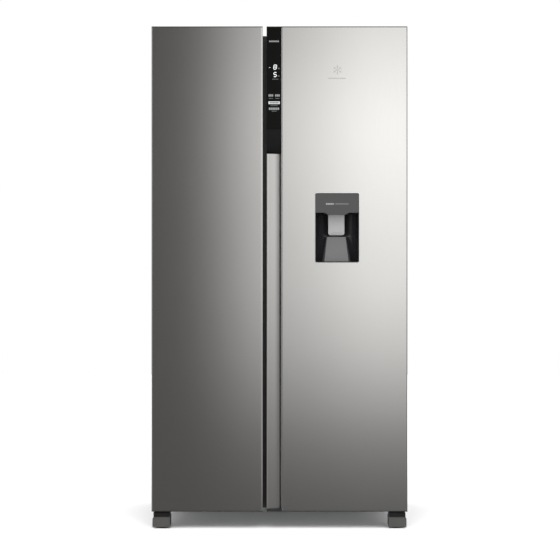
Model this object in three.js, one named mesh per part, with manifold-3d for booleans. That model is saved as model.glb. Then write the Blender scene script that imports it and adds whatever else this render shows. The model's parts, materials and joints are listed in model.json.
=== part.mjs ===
// Side by side refrigerator: freezer on the left, refrigerator on the right.
// Millimetres. +Z is up, the doors face -Y, the origin is on the floor under the middle.

import * as THREE from 'three';
import { mergeVertices } from 'three/addons/utils/BufferGeometryUtils.js';
import Module from 'manifold-3d';

const wasm = await Module();
wasm.setup();

// ---------------------------------------------------------------- driving dimensions

const WIDTH = 911;
const DEPTH = 706;
const HEIGHT = 1788;
const GAP = 0.3; // clearance between two pieces that touch in the real object

const DOOR_FRONT = -DEPTH / 2;
const DOOR_REAR = DOOR_FRONT + 62;
const DOOR_BOTTOM = 62;
const DOOR_TOP = HEIGHT;
const DOOR_SHEET = 1.2;
const CAP_LIP = 2.7; // the visible edge of a door's end cap
const CAP_PLUG = 30; // how far the top cap reaches into the door
const FOOT_PLUG = 20; // how far the bottom cap reaches into the door

const FREEZER_DOOR = [-WIDTH / 2, -59.9];
const FRIDGE_DOOR = [-45.7, WIDTH / 2];
const FRIDGE_PANEL_EDGE = 7.6; // left edge of the refrigerator door's flat panel

const HINGE_X = 437;
const HINGE_Y = -323;
const HINGE_PIN_RADIUS = 5;

const CASE_HALF_WIDTH = 453.5;
const CASE_FRONT = DOOR_REAR + 14;
const CASE_REAR = 343;
const CASE_TOP = 1765;
const CASE_BOTTOM = 60;
const CASE_SHEET = 1.2;

const FREEZER_SPACE = [-393, -84];
const FRIDGE_SPACE = [-20, 402];
const SPACE_FLOOR = 130;
const SPACE_CEILING = 1705;
const SPACE_REAR = 283;
const STEP_FOOT = 70; // the floor runs back to here, then slopes up over the machine compartment
const STEP_HEAD = 125;
const STEP_TOP = 345;
const LINER = 2;

const DYKE_REACH = 28; // how far the raised rim of a door liner enters its compartment
const FREEZER_DYKE = [-381, -99];
const FRIDGE_DYKE = [-6, 391];
const DYKE_BOTTOM = 152;
const DYKE_TOP = 1683;
const BIN_INNER_FACE = -180;

const DRAWER_FRONT = -150;
const SHELF_FRONT = -166;
const SHELF_HEIGHTS = { lower: 588, middle: 955, upper: 1325 };

const DISPENSER = { x: [127.5, 283], z: [948.6, 1195], rear: -290 };
const PANEL_SPLIT = 1423; // the glass ends here and the sloping cap begins
const PANEL_BOTTOM = 1335;
const CHANNEL_BOTTOM = 73;

// ---------------------------------------------------------------- solid helpers

function toSolid(geometry) {
  const bare = geometry.clone();
  bare.deleteAttribute('normal');
  bare.deleteAttribute('uv');
  const merged = mergeVertices(bare, 1e-4);
  return new wasm.Manifold(new wasm.Mesh({
    numProp: 3,
    vertProperties: new Float32Array(merged.attributes.position.array),
    triVerts: new Uint32Array(merged.index.array),
  }));
}

function toGeometry(solid) {
  const mesh = solid.getMesh();
  const geometry = new THREE.BufferGeometry();
  geometry.setAttribute('position', new THREE.BufferAttribute(mesh.vertProperties, 3));
  geometry.setIndex(new THREE.BufferAttribute(mesh.triVerts, 1));
  geometry.computeVertexNormals();
  return geometry;
}

function join(...solids) {
  return solids.reduce((sum, next) => sum.add(next));
}

function cut(solid, ...tools) {
  return tools.reduce((left, tool) => left.subtract(tool), solid);
}

function box(x, y, z) {
  const geometry = new THREE.BoxGeometry(x[1] - x[0], y[1] - y[0], z[1] - z[0]);
  geometry.translate((x[0] + x[1]) / 2, (y[0] + y[1]) / 2, (z[0] + z[1]) / 2);
  return toSolid(geometry);
}

function extruded(points, length, basis) {
  const shape = new THREE.Shape(points.map(([a, b]) => new THREE.Vector2(a, b)));
  const geometry = new THREE.ExtrudeGeometry(shape, { depth: length, bevelEnabled: false });
  geometry.applyMatrix4(basis);
  return toSolid(geometry);
}

// points are (x, y); the prism runs from z[0] to z[1]
function prismZ(points, z) {
  return extruded(points, z[1] - z[0], new THREE.Matrix4().makeTranslation(0, 0, z[0]));
}

// points are (y, z); the prism runs from x[0] to x[1]
function prismX(points, x) {
  const basis = new THREE.Matrix4().makeBasis(
    new THREE.Vector3(0, 1, 0),
    new THREE.Vector3(0, 0, 1),
    new THREE.Vector3(1, 0, 0),
  );
  basis.setPosition(x[0], 0, 0);
  return extruded(points, x[1] - x[0], basis);
}

// points are (x, z); the prism runs from y[0] to y[1]
function prismY(points, y) {
  const basis = new THREE.Matrix4().makeBasis(
    new THREE.Vector3(1, 0, 0),
    new THREE.Vector3(0, 0, 1),
    new THREE.Vector3(0, -1, 0),
  );
  basis.setPosition(0, y[1], 0);
  return extruded(points, y[1] - y[0], basis);
}

function circle(centre, radius, segments) {
  return Array.from({ length: segments }, (_, i) => {
    const angle = (2 * Math.PI * i) / segments;
    return [centre[0] + radius * Math.cos(angle), centre[1] + radius * Math.sin(angle)];
  });
}

// corners of a polygon replaced by arcs; radii is one number or one per corner
function rounded(points, radii, segments = 4) {
  const out = [];
  points.forEach((corner, i) => {
    const radius = Array.isArray(radii) ? radii[i] : radii;
    if (!radius) {
      out.push(corner);
      return;
    }
    const before = points[(i + points.length - 1) % points.length];
    const after = points[(i + 1) % points.length];
    const back = new THREE.Vector2(before[0] - corner[0], before[1] - corner[1]).normalize();
    const forth = new THREE.Vector2(after[0] - corner[0], after[1] - corner[1]).normalize();
    const half = Math.acos(THREE.MathUtils.clamp(back.dot(forth), -1, 1)) / 2;
    const reach = radius / Math.tan(half);
    const middle = back.clone().add(forth).normalize().multiplyScalar(radius / Math.sin(half));
    const centre = new THREE.Vector2(corner[0] + middle.x, corner[1] + middle.y);
    const from = new THREE.Vector2(corner[0], corner[1]).addScaledVector(back, reach).sub(centre);
    const to = new THREE.Vector2(corner[0], corner[1]).addScaledVector(forth, reach).sub(centre);
    const start = Math.atan2(from.y, from.x);
    let sweep = Math.atan2(to.y, to.x) - start;
    if (sweep > Math.PI) sweep -= 2 * Math.PI;
    if (sweep < -Math.PI) sweep += 2 * Math.PI;
    for (let k = 0; k <= segments; k += 1) {
      const angle = start + (sweep * k) / segments;
      out.push([centre.x + radius * Math.cos(angle), centre.y + radius * Math.sin(angle)]);
    }
  });
  return out;
}

function rectangle(a, b) {
  return [[a[0], b[0]], [a[1], b[0]], [a[1], b[1]], [a[0], b[1]]];
}

function grown(range, by) {
  return [range[0] - by, range[1] + by];
}

// a sheet of even thickness that follows an open path, thickened to the path's left
function sheetPath(path, thickness) {
  const normals = path.slice(1).map((point, i) => {
    const along = new THREE.Vector2(point[0] - path[i][0], point[1] - path[i][1]).normalize();
    return new THREE.Vector2(-along.y, along.x);
  });
  const inner = path.map((point, i) => {
    const first = normals[Math.max(i - 1, 0)];
    const second = normals[Math.min(i, normals.length - 1)];
    const mitre = first.clone().add(second).normalize();
    const reach = thickness / mitre.dot(second);
    return [point[0] + mitre.x * reach, point[1] + mitre.y * reach];
  });
  return path.concat(inner.reverse());
}

// a round body turned about a vertical axis; profile is (radius, height)
function turned(profile, centre, segments = 32) {
  const points = profile.map(([radius, height]) => new THREE.Vector2(radius, height));
  const geometry = new THREE.LatheGeometry(points, segments);
  geometry.rotateX(Math.PI / 2);
  geometry.translate(centre[0], centre[1], 0);
  return toSolid(geometry);
}

// ---------------------------------------------------------------- the assembly

const group = new THREE.Group();
group.name = 'side_by_side_refrigerator';

const FINISHES = {
  steel: { color: 0xa9a7a3, roughness: 0.32, metalness: 0.95 },
  channel: { color: 0xa3a19d, roughness: 0.3, metalness: 0.95 },
  case_paint: { color: 0x55565a, roughness: 0.45, metalness: 0.6 },
  zinc: { color: 0x8d9092, roughness: 0.5, metalness: 0.85 },
  cap_plastic: { color: 0x2c2c2e, roughness: 0.5, metalness: 0 },
  foot_plastic: { color: 0x4c4b49, roughness: 0.6, metalness: 0 },
  bracket_black: { color: 0x17181a, roughness: 0.45, metalness: 0.6 },
  foam: { color: 0xd9c98f, roughness: 0.95, metalness: 0 },
  liner_white: { color: 0xeceded, roughness: 0.35, metalness: 0 },
  gasket_rubber: { color: 0x3a3b3d, roughness: 0.8, metalness: 0 },
  clear_plastic: { color: 0xdfe8ec, roughness: 0.12, metalness: 0 },
  shelf_glass: { color: 0xd8e8e4, roughness: 0.08, metalness: 0 },
  panel_glass: { color: 0x060607, roughness: 0.06, metalness: 0 },
  panel_black: { color: 0x141517, roughness: 0.3, metalness: 0 },
  dispenser_black: { color: 0x101112, roughness: 0.28, metalness: 0 },
  dispenser_grey: { color: 0x4d4e50, roughness: 0.4, metalness: 0 },
  ramp_grey: { color: 0x737476, roughness: 0.42, metalness: 0 },
  paddle_silver: { color: 0xafb0b1, roughness: 0.35, metalness: 0.3 },
  compressor_black: { color: 0x101010, roughness: 0.35, metalness: 0.5 },
  roller_plastic: { color: 0x2a2a2b, roughness: 0.6, metalness: 0 },
};

function addPart(name, solid, finish) {
  const material = new THREE.MeshStandardMaterial(FINISHES[finish]);
  material.name = finish;
  const mesh = new THREE.Mesh(toGeometry(solid), material);
  mesh.name = name;
  group.add(mesh);
}

// ---------------------------------------------------------------- cabinet

// side section (y, z) of a compartment, grown outwards by `grow`
function spaceSection(front, grow) {
  const shift = grow * 0.776;
  return [
    [front, SPACE_FLOOR - grow],
    [STEP_FOOT + shift, SPACE_FLOOR - grow],
    [STEP_HEAD + shift, STEP_TOP - grow],
    [SPACE_REAR + grow, STEP_TOP - grow],
    [SPACE_REAR + grow, SPACE_CEILING + grow],
    [front, SPACE_CEILING + grow],
  ];
}

function outerCase() {
  const x = [-CASE_HALF_WIDTH, CASE_HALF_WIDTH];
  const y = [CASE_FRONT, CASE_REAR];
  const shell = cut(
    box(x, y, [CASE_BOTTOM, CASE_TOP]),
    box(grown(x, -CASE_SHEET), [y[0] - 1, y[1] - CASE_SHEET], [CASE_BOTTOM - 1, CASE_TOP - CASE_SHEET]),
    box([-430, 430], [y[1] - 5, y[1] + 5], [CASE_BOTTOM - 1, 298]),
  );
  const partitionStrip = box(
    [FREEZER_SPACE[1] + LINER + 0.4, FRIDGE_SPACE[0] - LINER - 0.4],
    [CASE_FRONT, CASE_FRONT + CASE_SHEET],
    [66, CASE_TOP - 0.5],
  );
  return join(shell, partitionStrip);
}

function insulationFoam() {
  const skin = CASE_SHEET + GAP;
  const section = [
    [CASE_FRONT + LINER + GAP, 65],
    [112, 65],
    [168, 300],
    [CASE_REAR - skin, 300],
    [CASE_REAR - skin, CASE_TOP - skin],
    [CASE_FRONT + LINER + GAP, CASE_TOP - skin],
  ];
  const block = prismX(section, grown([-CASE_HALF_WIDTH, CASE_HALF_WIDTH], -skin));
  const hollow = spaceSection(CASE_FRONT - 5, LINER + GAP);
  return cut(
    block,
    prismX(hollow, grown(FREEZER_SPACE, LINER + GAP)),
    prismX(hollow, grown(FRIDGE_SPACE, LINER + GAP)),
  );
}

// shelf ledges and drawer rails moulded into the two side walls of a liner
function ledges(space, rear) {
  const solids = [];
  const sides = [[space[0] - 1, 1], [space[1] + 1, -1]];
  sides.forEach(([wall, inward]) => {
    const span = (reach) => [wall, wall + inward * reach].sort((a, b) => a - b);
    Object.values(SHELF_HEIGHTS).forEach((height) => {
      solids.push(box(span(9), [-140, rear], [height - 9, height - GAP]));
    });
    solids.push(box(span(24), [-140, rear], [346, 354]));
    solids.push(box(span(14), [-140, STEP_FOOT - 20], [SPACE_FLOOR - 1, SPACE_FLOOR + 6]));
  });
  return solids;
}

function compartmentLiner(space, flange, rear) {
  const tub = prismX(spaceSection(CASE_FRONT, LINER), grown(space, LINER));
  const rim = box(flange, [CASE_FRONT, CASE_FRONT + LINER], [66, CASE_TOP - CASE_SHEET - GAP]);
  const hollow = prismX(spaceSection(CASE_FRONT - 5, 0), space);
  return join(cut(join(tub, rim), hollow), ...ledges(space, rear));
}

// base sheet with its rear gussets, roller forks and the fan's post
function basePan() {
  const inside = CASE_HALF_WIDTH - CASE_SHEET - GAP;
  const solids = [box([-inside, inside], [CASE_FRONT + 2.5, CASE_REAR - 3.5], [62, 64.7])];
  [-1, 1].forEach((side) => {
    const gusset = [side * inside, side * (inside - 3)].sort((a, b) => a - b);
    solids.push(box(gusset, [176, CASE_REAR - 3.5], [64, 296]));
    [386, 411.5].forEach((cheek) => {
      const span = [side * cheek, side * (cheek + 2.5)].sort((a, b) => a - b);
      solids.push(prismX(rounded([[268, 62.5], [312, 62.5], [301, 14], [279, 14]], [0, 0, 9, 9]), span));
    });
    const axle = [side * 386, side * 414].sort((a, b) => a - b);
    solids.push(prismX(circle([290, 25], 4, 16), axle));
  });
  solids.push(box([57, 60], [232, 288], [64, 214]));
  solids.push(prismX(circle([260, 185], 3, 12), [59, 84]));
  return join(...solids);
}

function evaporatorCover() {
  const x = [FREEZER_SPACE[0] + 3, FREEZER_SPACE[1] - 3];
  const z = [STEP_TOP + 5, SPACE_CEILING - 5];
  const shell = cut(
    box(x, [222, SPACE_REAR - 1], z),
    box(grown(x, -3), [225, SPACE_REAR + 5], grown(z, -3)),
  );
  const slots = [];
  [700, 1060, 1430, 1560].forEach((height) => {
    [0, 1, 2].forEach((row) => {
      slots.push(box([-318, -159], [215, 230], [height + row * 16, height + row * 16 + 7]));
    });
  });
  return cut(shell, ...slots);
}

function airDuctPanel() {
  const panel = prismZ(
    rounded([[96, SPACE_REAR - 1], [108, 262], [274, 262], [286, SPACE_REAR - 1]], [0, 8, 8, 0]),
    [STEP_TOP + 25, SPACE_CEILING - 15],
  );
  const vents = [];
  [690, 1050, 1420].forEach((height) => {
    [0, 1, 2].forEach((row) => {
      [[124, 176], [206, 258]].forEach((span) => {
        vents.push(box(span, [255, 272], [height + row * 15, height + row * 15 + 7]));
      });
    });
  });
  return cut(panel, ...vents);
}

// a glass shelf with a raised front trim
function shelf(space, height, rear) {
  const x = [space[0] + 1.5, space[1] - 1.5];
  const plate = box(x, [SHELF_FRONT + 4, rear], [height, height + 5]);
  const trimSection = [
    [SHELF_FRONT, height - 8],
    [SHELF_FRONT + 12, height - 8],
    [SHELF_FRONT + 12, height + 9],
    [SHELF_FRONT, height + 9],
  ];
  return join(plate, prismX(rounded(trimSection, 3, 3), x));
}

// an open drawer with a finger cut-out in its front wall
function drawer(x, rear, z) {
  const outside = box(x, [DRAWER_FRONT, rear], z);
  const inside = box(grown(x, -2.5), [DRAWER_FRONT + 5, rear - 2.5], [z[0] + 2.5, z[1] + 5]);
  const middle = (x[0] + x[1]) / 2;
  const finger = rounded(rectangle([middle - 62, middle + 62], [z[1] - 24, z[1] + 30]), 12, 3);
  return cut(outside, inside, prismY(finger, [DRAWER_FRONT - 5, DRAWER_FRONT + 4.9]));
}

function topHinge(side) {
  const span = (a, b) => [side * a, side * b].sort((p, q) => p - q);
  const foot = box(span(396, 451), [CASE_FRONT + 4, -192], [CASE_TOP + GAP, 1774]);
  const armOutline = rounded(
    [
      [side * 426, CASE_FRONT + 20],
      [side * 426, HINGE_Y - 11],
      [side * 448, HINGE_Y - 11],
      [side * 448, CASE_FRONT + 20],
    ],
    [0, 10.5, 10.5, 0],
  );
  const arm = prismZ(armOutline, [1770, 1774]);
  const pin = prismZ(circle([side * HINGE_X, HINGE_Y], HINGE_PIN_RADIUS, 20), [1758, 1771]);
  return join(foot, arm, pin);
}

function hingeCover(side) {
  const span = (a, b) => [side * a, side * b].sort((p, q) => p - q);
  const outside = box(span(386, 452.5), [CASE_FRONT, -176], [CASE_TOP + GAP, 1786]);
  const inside = box(span(389, 452.2), [CASE_FRONT + 3, -179], [CASE_TOP - 1, 1783]);
  const mouth = box(span(422, 450), [CASE_FRONT - 5, CASE_FRONT + 5], [CASE_TOP - 1, 1777]);
  return cut(outside, inside, mouth);
}

function bottomHinge(side) {
  const span = (a, b) => [side * a, side * b].sort((p, q) => p - q);
  const block = box(span(391, 449), [DOOR_FRONT + 9, CASE_FRONT], [42.3, 58]);
  const tongue = box(span(391, 449), [CASE_FRONT - 1, -205], [50, 61.7]);
  const pin = prismZ(circle([side * HINGE_X, HINGE_Y], HINGE_PIN_RADIUS, 20), [57, 79]);
  const washer = prismZ(circle([side * HINGE_X, HINGE_Y], 10, 20), [57, 60.5]);
  return join(block, tongue, pin, washer);
}

const FOOT_CENTRE = [421.5, -302];

function frontFoot(side) {
  const outer = side * 453;
  const inner = side * 390;
  const outline = rounded(
    [[outer, 5.3], [outer, 42], [inner, 42], [inner, 5.3]],
    [2, 10, 2, 2],
    4,
  );
  const block = prismY(outline, [DOOR_FRONT + 12, CASE_FRONT + 12]);
  const bore = prismZ(circle([side * FOOT_CENTRE[0], FOOT_CENTRE[1]], 5.3, 20), [0, 40]);
  return cut(block, bore);
}

function leveller(side) {
  const profile = [[0, 0], [23, 0], [24, 1], [24, 4], [23, 5], [5, 5], [5, 37], [4, 38], [0, 38]];
  return turned(profile, [side * FOOT_CENTRE[0], FOOT_CENTRE[1]], 32);
}

function rearRoller(side) {
  const span = [side * 389.5, side * 410.5].sort((a, b) => a - b);
  return cut(
    prismX(circle([290, 25], 25, 32), span),
    prismX(circle([290, 25], 4.3, 16), grown(span, 5)),
  );
}

function compressor() {
  const profile = [
    [0, 76], [62, 76], [74, 84], [80, 100], [80, 128], [83, 130], [83, 136], [80, 138],
    [79, 176], [72, 202], [54, 222], [28, 232], [0, 234],
  ];
  const shell = turned(profile, [262, 258], 32);
  const feet = prismZ(rounded(rectangle([168, 356], [188, 328]), 18, 4), [70, 77]);
  const studs = [[182, 202], [342, 202], [182, 314], [342, 314]].map(
    (centre) => prismZ(circle(centre, 9, 16), [65, 72]),
  );
  const stub = prismX(circle([258, 150], 5, 12), [170, 200]);
  return join(shell, feet, ...studs, stub).translate([0, -9, 0]);
}

function coolingFan() {
  const hub = cut(
    prismX(circle([260, 185], 17, 24), [66, 92]),
    prismX(circle([260, 185], 3.3, 12), [60, 86]),
  );
  const blades = Array.from({ length: 7 }, (_, i) => {
    const blade = new THREE.BoxGeometry(2, 34, 46);
    blade.rotateZ(THREE.MathUtils.degToRad(35));
    blade.translate(0, 0, 37);
    blade.rotateX((2 * Math.PI * i) / 7);
    blade.translate(79, 260, 185);
    return toSolid(blade);
  });
  return join(hub, ...blades);
}

function machineCover() {
  const plate = box([-429.7, 429.7], [CASE_REAR - 3, CASE_REAR - 0.2], [66, 297.7]);
  const slots = [];
  [-250, 110, 240].forEach((left) => {
    for (let row = 0; row < 8; row += 1) {
      const height = 100 + row * 20;
      slots.push(box([left, left + 110], [CASE_REAR - 6, CASE_REAR + 2], [height, height + 8]));
    }
  });
  const inletHole = prismY(circle([-360, 130], 13.3, 20), [CASE_REAR - 6, CASE_REAR + 2]);
  return cut(plate, inletHole, ...slots);
}

// the bush that a mains lead passes through
function mainsInlet() {
  const body = join(
    prismY(circle([-360, 130], 13, 20), [CASE_REAR - 16, CASE_REAR + 2]),
    prismY(circle([-360, 130], 19, 24), [CASE_REAR, CASE_REAR + 5]),
    prismY(circle([-360, 130], 10, 20), [CASE_REAR + 1, -DOOR_FRONT]),
  );
  return cut(body, prismY(circle([-360, 130], 5, 16), [CASE_REAR - 20, -DOOR_FRONT + 5]));
}

// ---------------------------------------------------------------- doors

// path (x, y) of a door's folded skin, from the rear on the hinge side round to the free edge
const FREEZER_SKIN_PATH = [
  [FREEZER_DOOR[0], DOOR_REAR - GAP],
  ...rounded(
    [[FREEZER_DOOR[0], DOOR_REAR - 1], [FREEZER_DOOR[0], DOOR_FRONT], [FREEZER_DOOR[1] - 5, DOOR_FRONT]],
    [0, 3.5, 0],
    4,
  ).slice(1),
  [FREEZER_DOOR[1], DOOR_FRONT + 3],
  [FREEZER_DOOR[1], DOOR_FRONT + 11],
  [FREEZER_DOOR[1] - 12, DOOR_FRONT + 16],
  [FREEZER_DOOR[1] - 12, DOOR_FRONT + 44],
  [FREEZER_DOOR[1], DOOR_FRONT + 49],
  [FREEZER_DOOR[1], DOOR_REAR - GAP],
];

const FRIDGE_SKIN_PATH = [
  [FRIDGE_PANEL_EDGE + 10, DOOR_FRONT + 7],
  [FRIDGE_PANEL_EDGE, DOOR_FRONT + 6],
  [FRIDGE_PANEL_EDGE, DOOR_FRONT + 2.6],
  ...rounded(
    [[FRIDGE_PANEL_EDGE + 3.4, DOOR_FRONT], [FRIDGE_DOOR[1], DOOR_FRONT], [FRIDGE_DOOR[1], DOOR_REAR - 1]],
    [0, 3.5, 0],
    4,
  ).slice(0, -1),
  [FRIDGE_DOOR[1], DOOR_REAR - GAP],
];

// the finger channel: a gentle slope from the free edge that steepens and sinks behind the panel's edge
const CHANNEL_PATH = [
  [FRIDGE_DOOR[0], DOOR_REAR - GAP],
  [FRIDGE_DOOR[0], DOOR_FRONT + 4],
  [FRIDGE_DOOR[0] + 0.9, DOOR_FRONT + 1.7],
  [FRIDGE_DOOR[0] + 2.6, DOOR_FRONT + 1],
  [FRIDGE_DOOR[0] + 4.4, DOOR_FRONT + 1.3],
  [FRIDGE_DOOR[0] + 8, DOOR_FRONT + 2.2],
  [FRIDGE_DOOR[0] + 14, DOOR_FRONT + 4.1],
  [FRIDGE_DOOR[0] + 21, DOOR_FRONT + 5.9],
  [FRIDGE_DOOR[0] + 28, DOOR_FRONT + 7.7],
  [FRIDGE_DOOR[0] + 35, DOOR_FRONT + 9.6],
  [FRIDGE_DOOR[0] + 41, DOOR_FRONT + 11.7],
  [FRIDGE_DOOR[0] + 47, DOOR_FRONT + 14.2],
  [FRIDGE_DOOR[0] + 50, DOOR_FRONT + 15.7],
  [FRIDGE_DOOR[0] + 53, DOOR_FRONT + 17.5],
  [FRIDGE_DOOR[0] + 56, DOOR_FRONT + 20.4],
  [FRIDGE_DOOR[0] + 58.6, DOOR_FRONT + 23.8],
  [FRIDGE_DOOR[0] + 60.8, DOOR_FRONT + 27],
  [FRIDGE_DOOR[0] + 62.6, DOOR_FRONT + 28.8],
  [FRIDGE_DOOR[0] + 65.2, DOOR_FRONT + 28.8],
  [FRIDGE_DOOR[0] + 67.4, DOOR_FRONT + 26.8],
  [FRIDGE_DOOR[0] + 68.6, DOOR_FRONT + 23.6],
  [FRIDGE_DOOR[0] + 69, DOOR_FRONT + 20],
  [FRIDGE_DOOR[0] + 69, DOOR_FRONT + 9.5],
];

const FREEZER_CORE = [
  [FREEZER_DOOR[0] + 1.6, DOOR_REAR - 2.5],
  [FREEZER_DOOR[0] + 1.6, DOOR_FRONT + 4],
  [FREEZER_DOOR[0] + 4, DOOR_FRONT + 1.6],
  [FREEZER_DOOR[1] - 5.5, DOOR_FRONT + 1.6],
  [FREEZER_DOOR[1] - 1.7, DOOR_FRONT + 4],
  [FREEZER_DOOR[1] - 1.7, DOOR_FRONT + 9.6],
  [FREEZER_DOOR[1] - 13.7, DOOR_FRONT + 14.6],
  [FREEZER_DOOR[1] - 13.7, DOOR_FRONT + 45.4],
  [FREEZER_DOOR[1] - 1.7, DOOR_FRONT + 50.4],
  [FREEZER_DOOR[1] - 1.7, DOOR_REAR - 2.5],
];

const FRIDGE_CORE = [
  [FRIDGE_DOOR[0] + 1.9, DOOR_REAR - 2.5],
  [FRIDGE_DOOR[0] + 1.9, DOOR_FRONT + 32],
  [FRIDGE_DOOR[0] + 71.5, DOOR_FRONT + 32],
  [FRIDGE_DOOR[0] + 71.5, DOOR_FRONT + 1.6],
  [FRIDGE_DOOR[1] - 4, DOOR_FRONT + 1.6],
  [FRIDGE_DOOR[1] - 1.6, DOOR_FRONT + 4],
  [FRIDGE_DOOR[1] - 1.6, DOOR_REAR - 2.5],
];

const SKIN_Z = [DOOR_BOTTOM + CAP_LIP + GAP, DOOR_TOP - CAP_LIP - GAP];

// room at a door's top rear corner for the hinge arm to swing through
function hingeNotch(side) {
  const x = [side * 398, side * 460].sort((a, b) => a - b);
  return box(x, [DOOR_FRONT + 5, DOOR_REAR + 10], [1767, DOOR_TOP + 5]);
}

function pinHole(side, z) {
  return prismZ(circle([side * HINGE_X, HINGE_Y], HINGE_PIN_RADIUS + GAP, 20), z);
}

function doorOutline(x, hingeSide) {
  const corners = [[x[0], DOOR_REAR], [x[0], DOOR_FRONT], [x[1], DOOR_FRONT], [x[1], DOOR_REAR]];
  return rounded(corners, hingeSide < 0 ? [0, 3.5, 2, 0] : [0, 2, 3.5, 0], 4);
}

function topCap(doorX, core, side) {
  const lip = prismZ(doorOutline(doorX, side), [DOOR_TOP - CAP_LIP, DOOR_TOP]);
  const plug = prismZ(core, [DOOR_TOP - CAP_PLUG, DOOR_TOP - CAP_LIP + 0.5]);
  return cut(join(lip, plug), hingeNotch(side), pinHole(side, [1700, DOOR_TOP + 5]));
}

function bottomCap(doorX, core, side, extras) {
  const lip = prismZ(doorOutline(doorX, side), [DOOR_BOTTOM, DOOR_BOTTOM + CAP_LIP]);
  const plug = prismZ(core, [DOOR_BOTTOM + 1, DOOR_BOTTOM + FOOT_PLUG]);
  return cut(join(lip, plug, ...extras), pinHole(side, [DOOR_BOTTOM - 5, DOOR_BOTTOM + FOOT_PLUG - 2]));
}

const CORE_Z = [DOOR_BOTTOM + FOOT_PLUG + GAP, DOOR_TOP - CAP_PLUG - GAP];

function freezerSkin() {
  return cut(prismZ(sheetPath(FREEZER_SKIN_PATH, DOOR_SHEET), SKIN_Z), hingeNotch(-1));
}

function fridgeSkin() {
  const opening = rounded(rectangle(grown(DISPENSER.x, 0.4), grown(DISPENSER.z, 0.4)), 6, 5);
  return cut(
    prismZ(sheetPath(FRIDGE_SKIN_PATH, DOOR_SHEET), SKIN_Z),
    prismY(opening, [DOOR_FRONT - 5, DOOR_FRONT + 5]),
    hingeNotch(1),
  );
}

const BULGE = { x: [110, 300], z: [932, 1212], reach: 42 };

function fridgeFoam() {
  const pocket = box(grown(DISPENSER.x, 0.8), [DOOR_FRONT - 5, DISPENSER.rear + GAP], grown(DISPENSER.z, 0.8));
  const bulge = box(BULGE.x, [DOOR_REAR - 3, DOOR_REAR - 2.5 + BULGE.reach], BULGE.z);
  return cut(join(prismZ(FRIDGE_CORE, CORE_Z), bulge), pocket);
}

// a door's inner panel: a thin plate with a raised rim that enters the compartment
function doorLiner(plateX, dykeX, side) {
  const plate = box(plateX, [DOOR_REAR - 2.2, DOOR_REAR], [SKIN_Z[0] + 1, SKIN_Z[1] - 1]);
  const dykeZ = [DYKE_BOTTOM, DYKE_TOP];
  const rimOutline = rounded(rectangle(dykeX, dykeZ), 14, 4);
  const openOutline = rounded(rectangle(grown(dykeX, -13), grown(dykeZ, -13)), 10, 4);
  const rim = cut(
    prismY(rimOutline, [DOOR_REAR - 1, DOOR_REAR + DYKE_REACH]),
    prismY(openOutline, [DOOR_REAR, DOOR_REAR + DYKE_REACH + 5]),
  );
  return cut(join(plate, rim), hingeNotch(side));
}

function fridgeLinerPanel() {
  const panel = doorLiner([FRIDGE_DOOR[0] + 2.2, FRIDGE_DOOR[1] - 1.6], FRIDGE_DYKE, 1);
  const outside = box(grown(BULGE.x, 2.5), [DOOR_REAR - 1, DOOR_REAR + BULGE.reach + 0.5], grown(BULGE.z, 2.5));
  const inside = box(grown(BULGE.x, GAP), [DOOR_REAR - 5, DOOR_REAR - 2.2 + BULGE.reach], grown(BULGE.z, GAP));
  return cut(join(panel, outside), inside);
}

function gasket(x) {
  const z = [84, 1751];
  return cut(
    prismY(rounded(rectangle(x, z), 8, 3), [DOOR_REAR + GAP, CASE_FRONT - GAP]),
    box(grown(x, -18), [DOOR_REAR - 5, CASE_FRONT + 5], grown(z, -18)),
  );
}

// an open door bin whose inner corners taper to clear the compartment wall as the door swings
function doorBin(x, z) {
  const back = DOOR_REAR + GAP;
  const outline = (inset, backInset) => rounded(
    [
      [x[0] + inset, back + backInset],
      [x[0] + inset, -235],
      [x[0] + 11 + inset, BIN_INNER_FACE - inset],
      [x[1] - 11 - inset, BIN_INNER_FACE - inset],
      [x[1] - inset, -235],
      [x[1] - inset, back + backInset],
    ],
    [0, 0, 14 - inset, 14 - inset, 0, 0],
    3,
  );
  return cut(prismZ(outline(0, 0), z), prismZ(outline(2.5, 2.5), [z[0] + 2.5, z[1] + 5]));
}

function controlHousing() {
  const x = [FRIDGE_DOOR[0], FRIDGE_PANEL_EDGE - 0.6];
  const section = [
    [DOOR_FRONT + 31.7, PANEL_BOTTOM + GAP],
    [DOOR_FRONT + 20, PANEL_BOTTOM + GAP],
    [DOOR_FRONT + 13, PANEL_BOTTOM + 18],
    [DOOR_FRONT + 7, PANEL_BOTTOM + 40],
    [DOOR_FRONT + 2.8, PANEL_BOTTOM + 62],
    [DOOR_FRONT + 0.4, PANEL_SPLIT - GAP],
    [DOOR_FRONT + 4.3, PANEL_SPLIT - GAP],
    [DOOR_FRONT + 4.3, SKIN_Z[1]],
    [DOOR_FRONT + 31.7, SKIN_Z[1]],
  ];
  const sideWall = box([x[0], x[0] + 1.5], [DOOR_FRONT + 31, DOOR_REAR - GAP], [PANEL_BOTTOM + GAP, SKIN_Z[1]]);
  const boardPocket = box([x[0] + 5, x[1] - 5], [DOOR_FRONT, DOOR_FRONT + 26], [1440, 1765]);
  return cut(join(prismX(section, x), sideWall), boardPocket);
}

// ---------------------------------------------------------------- water dispenser

const DISPENSER_MIDDLE = 203.6;
const PADDLE_PIVOT = { y: -314, z: 1129 };

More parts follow.
